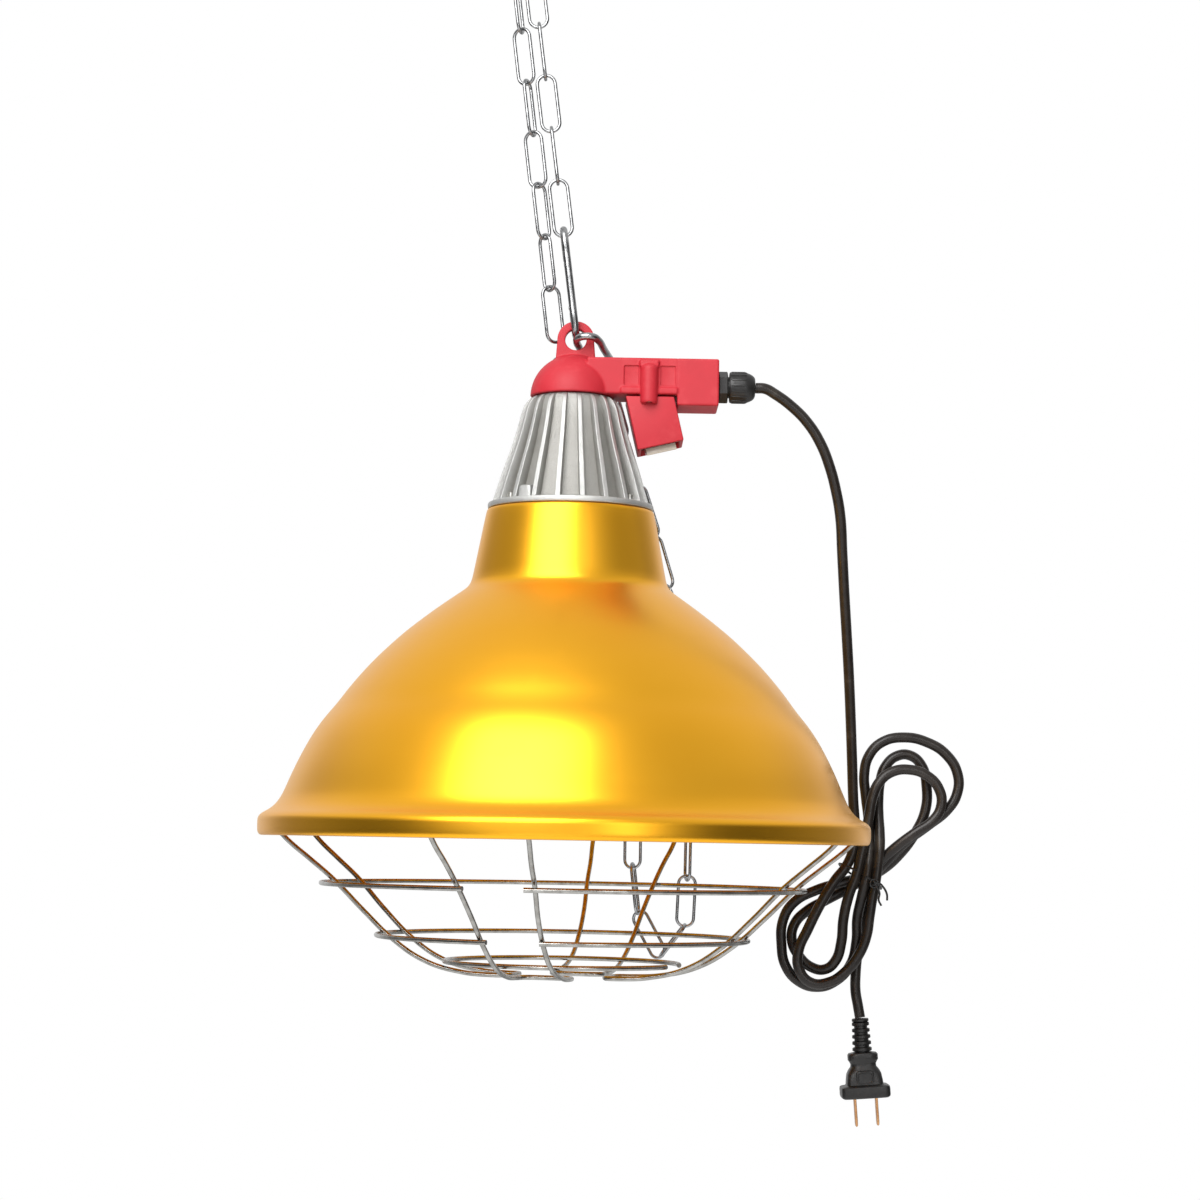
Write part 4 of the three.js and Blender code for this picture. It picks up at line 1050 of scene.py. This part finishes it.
snap_reach = 60.25  # from the upper hook's foot to the first link's lower joint
strand_foot = upper_foot + strand_up * snap_reach
right_joints = [strand_foot + strand_up * link_pitch * n for n in range(7)]
hanging_links = [(right_joints[i], right_joints[i + 1], 90 * (i % 2), joint_reach) for i in range(6)]
left_foot, left_bend = Vector((-10.6, 12, 292.3)), right_joints[5] + Vector((-10.5, 2.4, -3))
left_joints = [left_foot.lerp(left_bend, n / 7) for n in range(8)] + [right_joints[6] + Vector((0.2, 2.4,
    2.1))]
left_twists = (25, 125, 50, 155, 70, 150, 75, 0)
hanging_links += [(left_joints[i], left_joints[i + 1], twist, joint_reach) for i,
                  twist in enumerate(left_twists)]
chain("chain_above", hanging_links, "chain", "chain_link_top",
      *[f"chain_link_right_{i}" for i in range(1, 6)],
      *[f"chain_link_left_{i}" for i in range(1, 9)])


def smooth_line(route, steps=60):
    """A curve through the places, closely sampled, with knots spaced by the root of each gap."""
    places = [Vector(place) for place in route]
    places = [2 * places[0] - places[1], *places, 2 * places[-1] - places[-2]]
    line = []
    for p0, p1, p2, p3 in zip(places, places[1:], places[2:], places[3:]):
        t1 = max((p1 - p0).length ** 0.5, 1e-6)
        t2 = t1 + (p2 - p1).length ** 0.5
        t3 = t2 + max((p3 - p2).length ** 0.5, 1e-6)
        for i in range(steps):
            t = t1 + (t2 - t1) * i / steps
            a1 = p0.lerp(p1, t / t1)
            a2 = p1.lerp(p2, (t - t1) / (t2 - t1))
            a3 = p2.lerp(p3, (t - t2) / (t3 - t2))
            b1 = a1.lerp(a2, t / t2)
            b2 = a2.lerp(a3, (t - t1) / (t3 - t1))
            line.append(b1.lerp(b2, (t - t1) / (t2 - t1)))
    return line + [places[-2]]


def strand(route, first_twist, count=None):
    """Links along a route, each turned a quarter from the last, that bite a little into each other."""
    line = smooth_line(route)
    far = [0.0]
    for a, b in zip(line, line[1:]):
        far.append(far[-1] + (b - a).length)
    count = count or round(far[-1] / link_pitch)
    joints, i = [], 0
    for n in range(count + 1):
        goal = far[-1] * n / count
        while i < len(far) - 2 and far[i + 1] < goal:
            i += 1
        joints.append(line[i].lerp(line[i + 1], (goal - far[i]) / (far[i + 1] - far[i])))
    return [(joints[n], joints[n + 1], first_twist + 90 * (n % 2), drape_reach) for n in range(count)]


def on_back(r, z, degrees):
    return (r * math.sin(math.radians(degrees)), r * math.cos(math.radians(degrees)), z)


loop_left, loop_right = on_back(183, -14.4, 13.2), on_back(183, -21.4, 24.7)
chain("chain_drapes", strand([
    (-9, 19.8, 282.3), (-8, 26, 273.3), (-4, 34, 260.6), (1, 38, 240.3), (5, 47, 219.8), (10, 56, 197.8),
    on_back(62, 166, 15),
    on_back(69, 149, 17), on_back(96, 129, 17), on_back(128, 98, 15), on_back(153, 61, 14),
    on_back(169, 30, 13.4),
    on_back(183, 14, 13.2), on_back(183, -16.2, 13.2),
], 0) + strand([
    (20.5, 53, 271.3), (35, 54, 223.8), (47, 55, 188.8), (61, 57, 142), on_back(96, 129, 40),
    on_back(128, 98, 33),
    on_back(153, 61, 28), on_back(169, 30, 25.5), on_back(183, 12, 24.7), on_back(183, -23.2, 24.7),
], 45), "lamp", "chain_drape_left", "chain_drape_right")
chain("chain_tail_loop", strand([
    loop_left, (44.5, 178, -42), (58, 174.5, -68), (64, 172.5, -75), (69, 171, -66), (76.5, 168, -48),
    loop_right,
], 90, 4), "tail_loop", "chain_loop")


# --- hanging hook -----------------------------------------------------------
# An open S hook of 4 mm zinc-plated wire. Its lower bend carries the top link and its upper
# bend goes over a rail or nail.
hook_foot = Vector((0, 0, -40)) / 1000
s_radius, s_thick = 10.5, 0.004
s_line = arc((0, s_radius), s_radius, range(200, 451, 25))
s_line += arc((0, 3 * s_radius), s_radius, range(-108, -271, -18))
s_places = [hook_foot + Vector((x, 0, z)) / 1000 for x, z in s_line]
hanging_hook = wire("hanging_s_hook", [s_places], s_thick, zinc, 20)
stands_for(hanging_hook, "hook", "zinc_chain", "hanging_hook")


# --- floor and light --------------------------------------------------------
# A pale floor well below the lamp, in a white studio that is a little dimmer to the sides,
# in front and below. A large soft light stands at the front left. A narrow one to the right
# and a low one in front are much weaker.
floor_coat = Coat("studio_floor", specular_ior_level=0.1, emission_strength=0.15,
                  emission_color=(1, 1, 1, 1))
floor_coat.two_tone(0.8, 2, (0.86, 0.86, 0.86), (0.9, 0.9, 0.9))
floor_coat.rough(0.8 + 0.1 * floor_coat.noise(0.3, 2))
floor_mesh = bmesh.new()
bmesh.ops.create_grid(floor_mesh, x_segments=4, y_segments=4, size=1.5)
bmesh.ops.translate(floor_mesh, vec=(0, -0.6, -1.45), verts=floor_mesh.verts)
floor = settled("studio_floor", floor_mesh, floor_coat)

studio = bpy.data.worlds.new("studio")
studio.use_nodes = True
bpy.context.scene.world = studio
sky = studio.node_tree
facing_to = sky.nodes.new("ShaderNodeSeparateXYZ")
sky.links.new(sky.nodes.new("ShaderNodeTexCoord").outputs["Generated"], facing_to.inputs[0])


def sky_range(socket, start, end, low, high):
    """Turns one part of the direction into brightness, evenly between two limits."""
    span = sky.nodes.new("ShaderNodeMapRange")
    span.interpolation_type = "SMOOTHSTEP"
    sky.links.new(socket, span.inputs["Value"])
    for label, value in (("From Min", start), ("From Max", end), ("To Min", low), ("To Max", high)):
        span.inputs[label].default_value = value
    return span.outputs[0]


beside = sky_range(tree_maths(sky, "ABSOLUTE", facing_to.outputs["X"]), 0.5, 0.85, 0.0, 1.0)
level_sky = sky_range(tree_maths(sky, "ABSOLUTE", facing_to.outputs["Z"]), 0.2, 0.6, 1.0, 0.0)
behind = sky_range(facing_to.outputs["Y"], -0.6, 0.5, 0.56, 0.84)
below = sky_range(facing_to.outputs["Z"], -0.5, 0.0, 0.4, 1.0)
side_shade = -0.55
glow = tree_maths(sky, "MULTIPLY_ADD", tree_maths(sky, "MULTIPLY", beside, level_sky), side_shade, behind)
is_seen = sky.nodes.new("ShaderNodeLightPath").outputs["Is Camera Ray"]
surround = sky.nodes["Background"]
surround.inputs["Color"].default_value = (1, 1, 1, 1)
sky.links.new(tree_maths(sky, "MAXIMUM", tree_maths(sky, "MULTIPLY", glow, below), is_seen),
              surround.inputs["Strength"])
bpy.context.scene.view_settings.view_transform = "Standard"


def soft_light(name, place, wide, high, watts):
    """A soft rectangular light aimed at the middle of the shade."""
    lamp = bpy.data.lights.new(name, "AREA")
    lamp.shape = "RECTANGLE"
    lamp.size, lamp.size_y = wide, high
    lamp.energy = watts
    made = linked(name, lamp)
    aim = (at(0, 0, 90) - Vector(place)).to_track_quat("-Z", "Y")
    made.matrix_world = Matrix.Translation(place) @ aim.to_matrix().to_4x4()


soft_light("key", (-0.38, -1.05, 0.34), 1.0, 1.25, 25)
soft_light("front_right", (0.62, -1.5, -0.35), 0.25, 1.1, 3)
soft_light("low_front", (-0.2, -1.6, -1.0), 1.0, 0.5, 1.5)
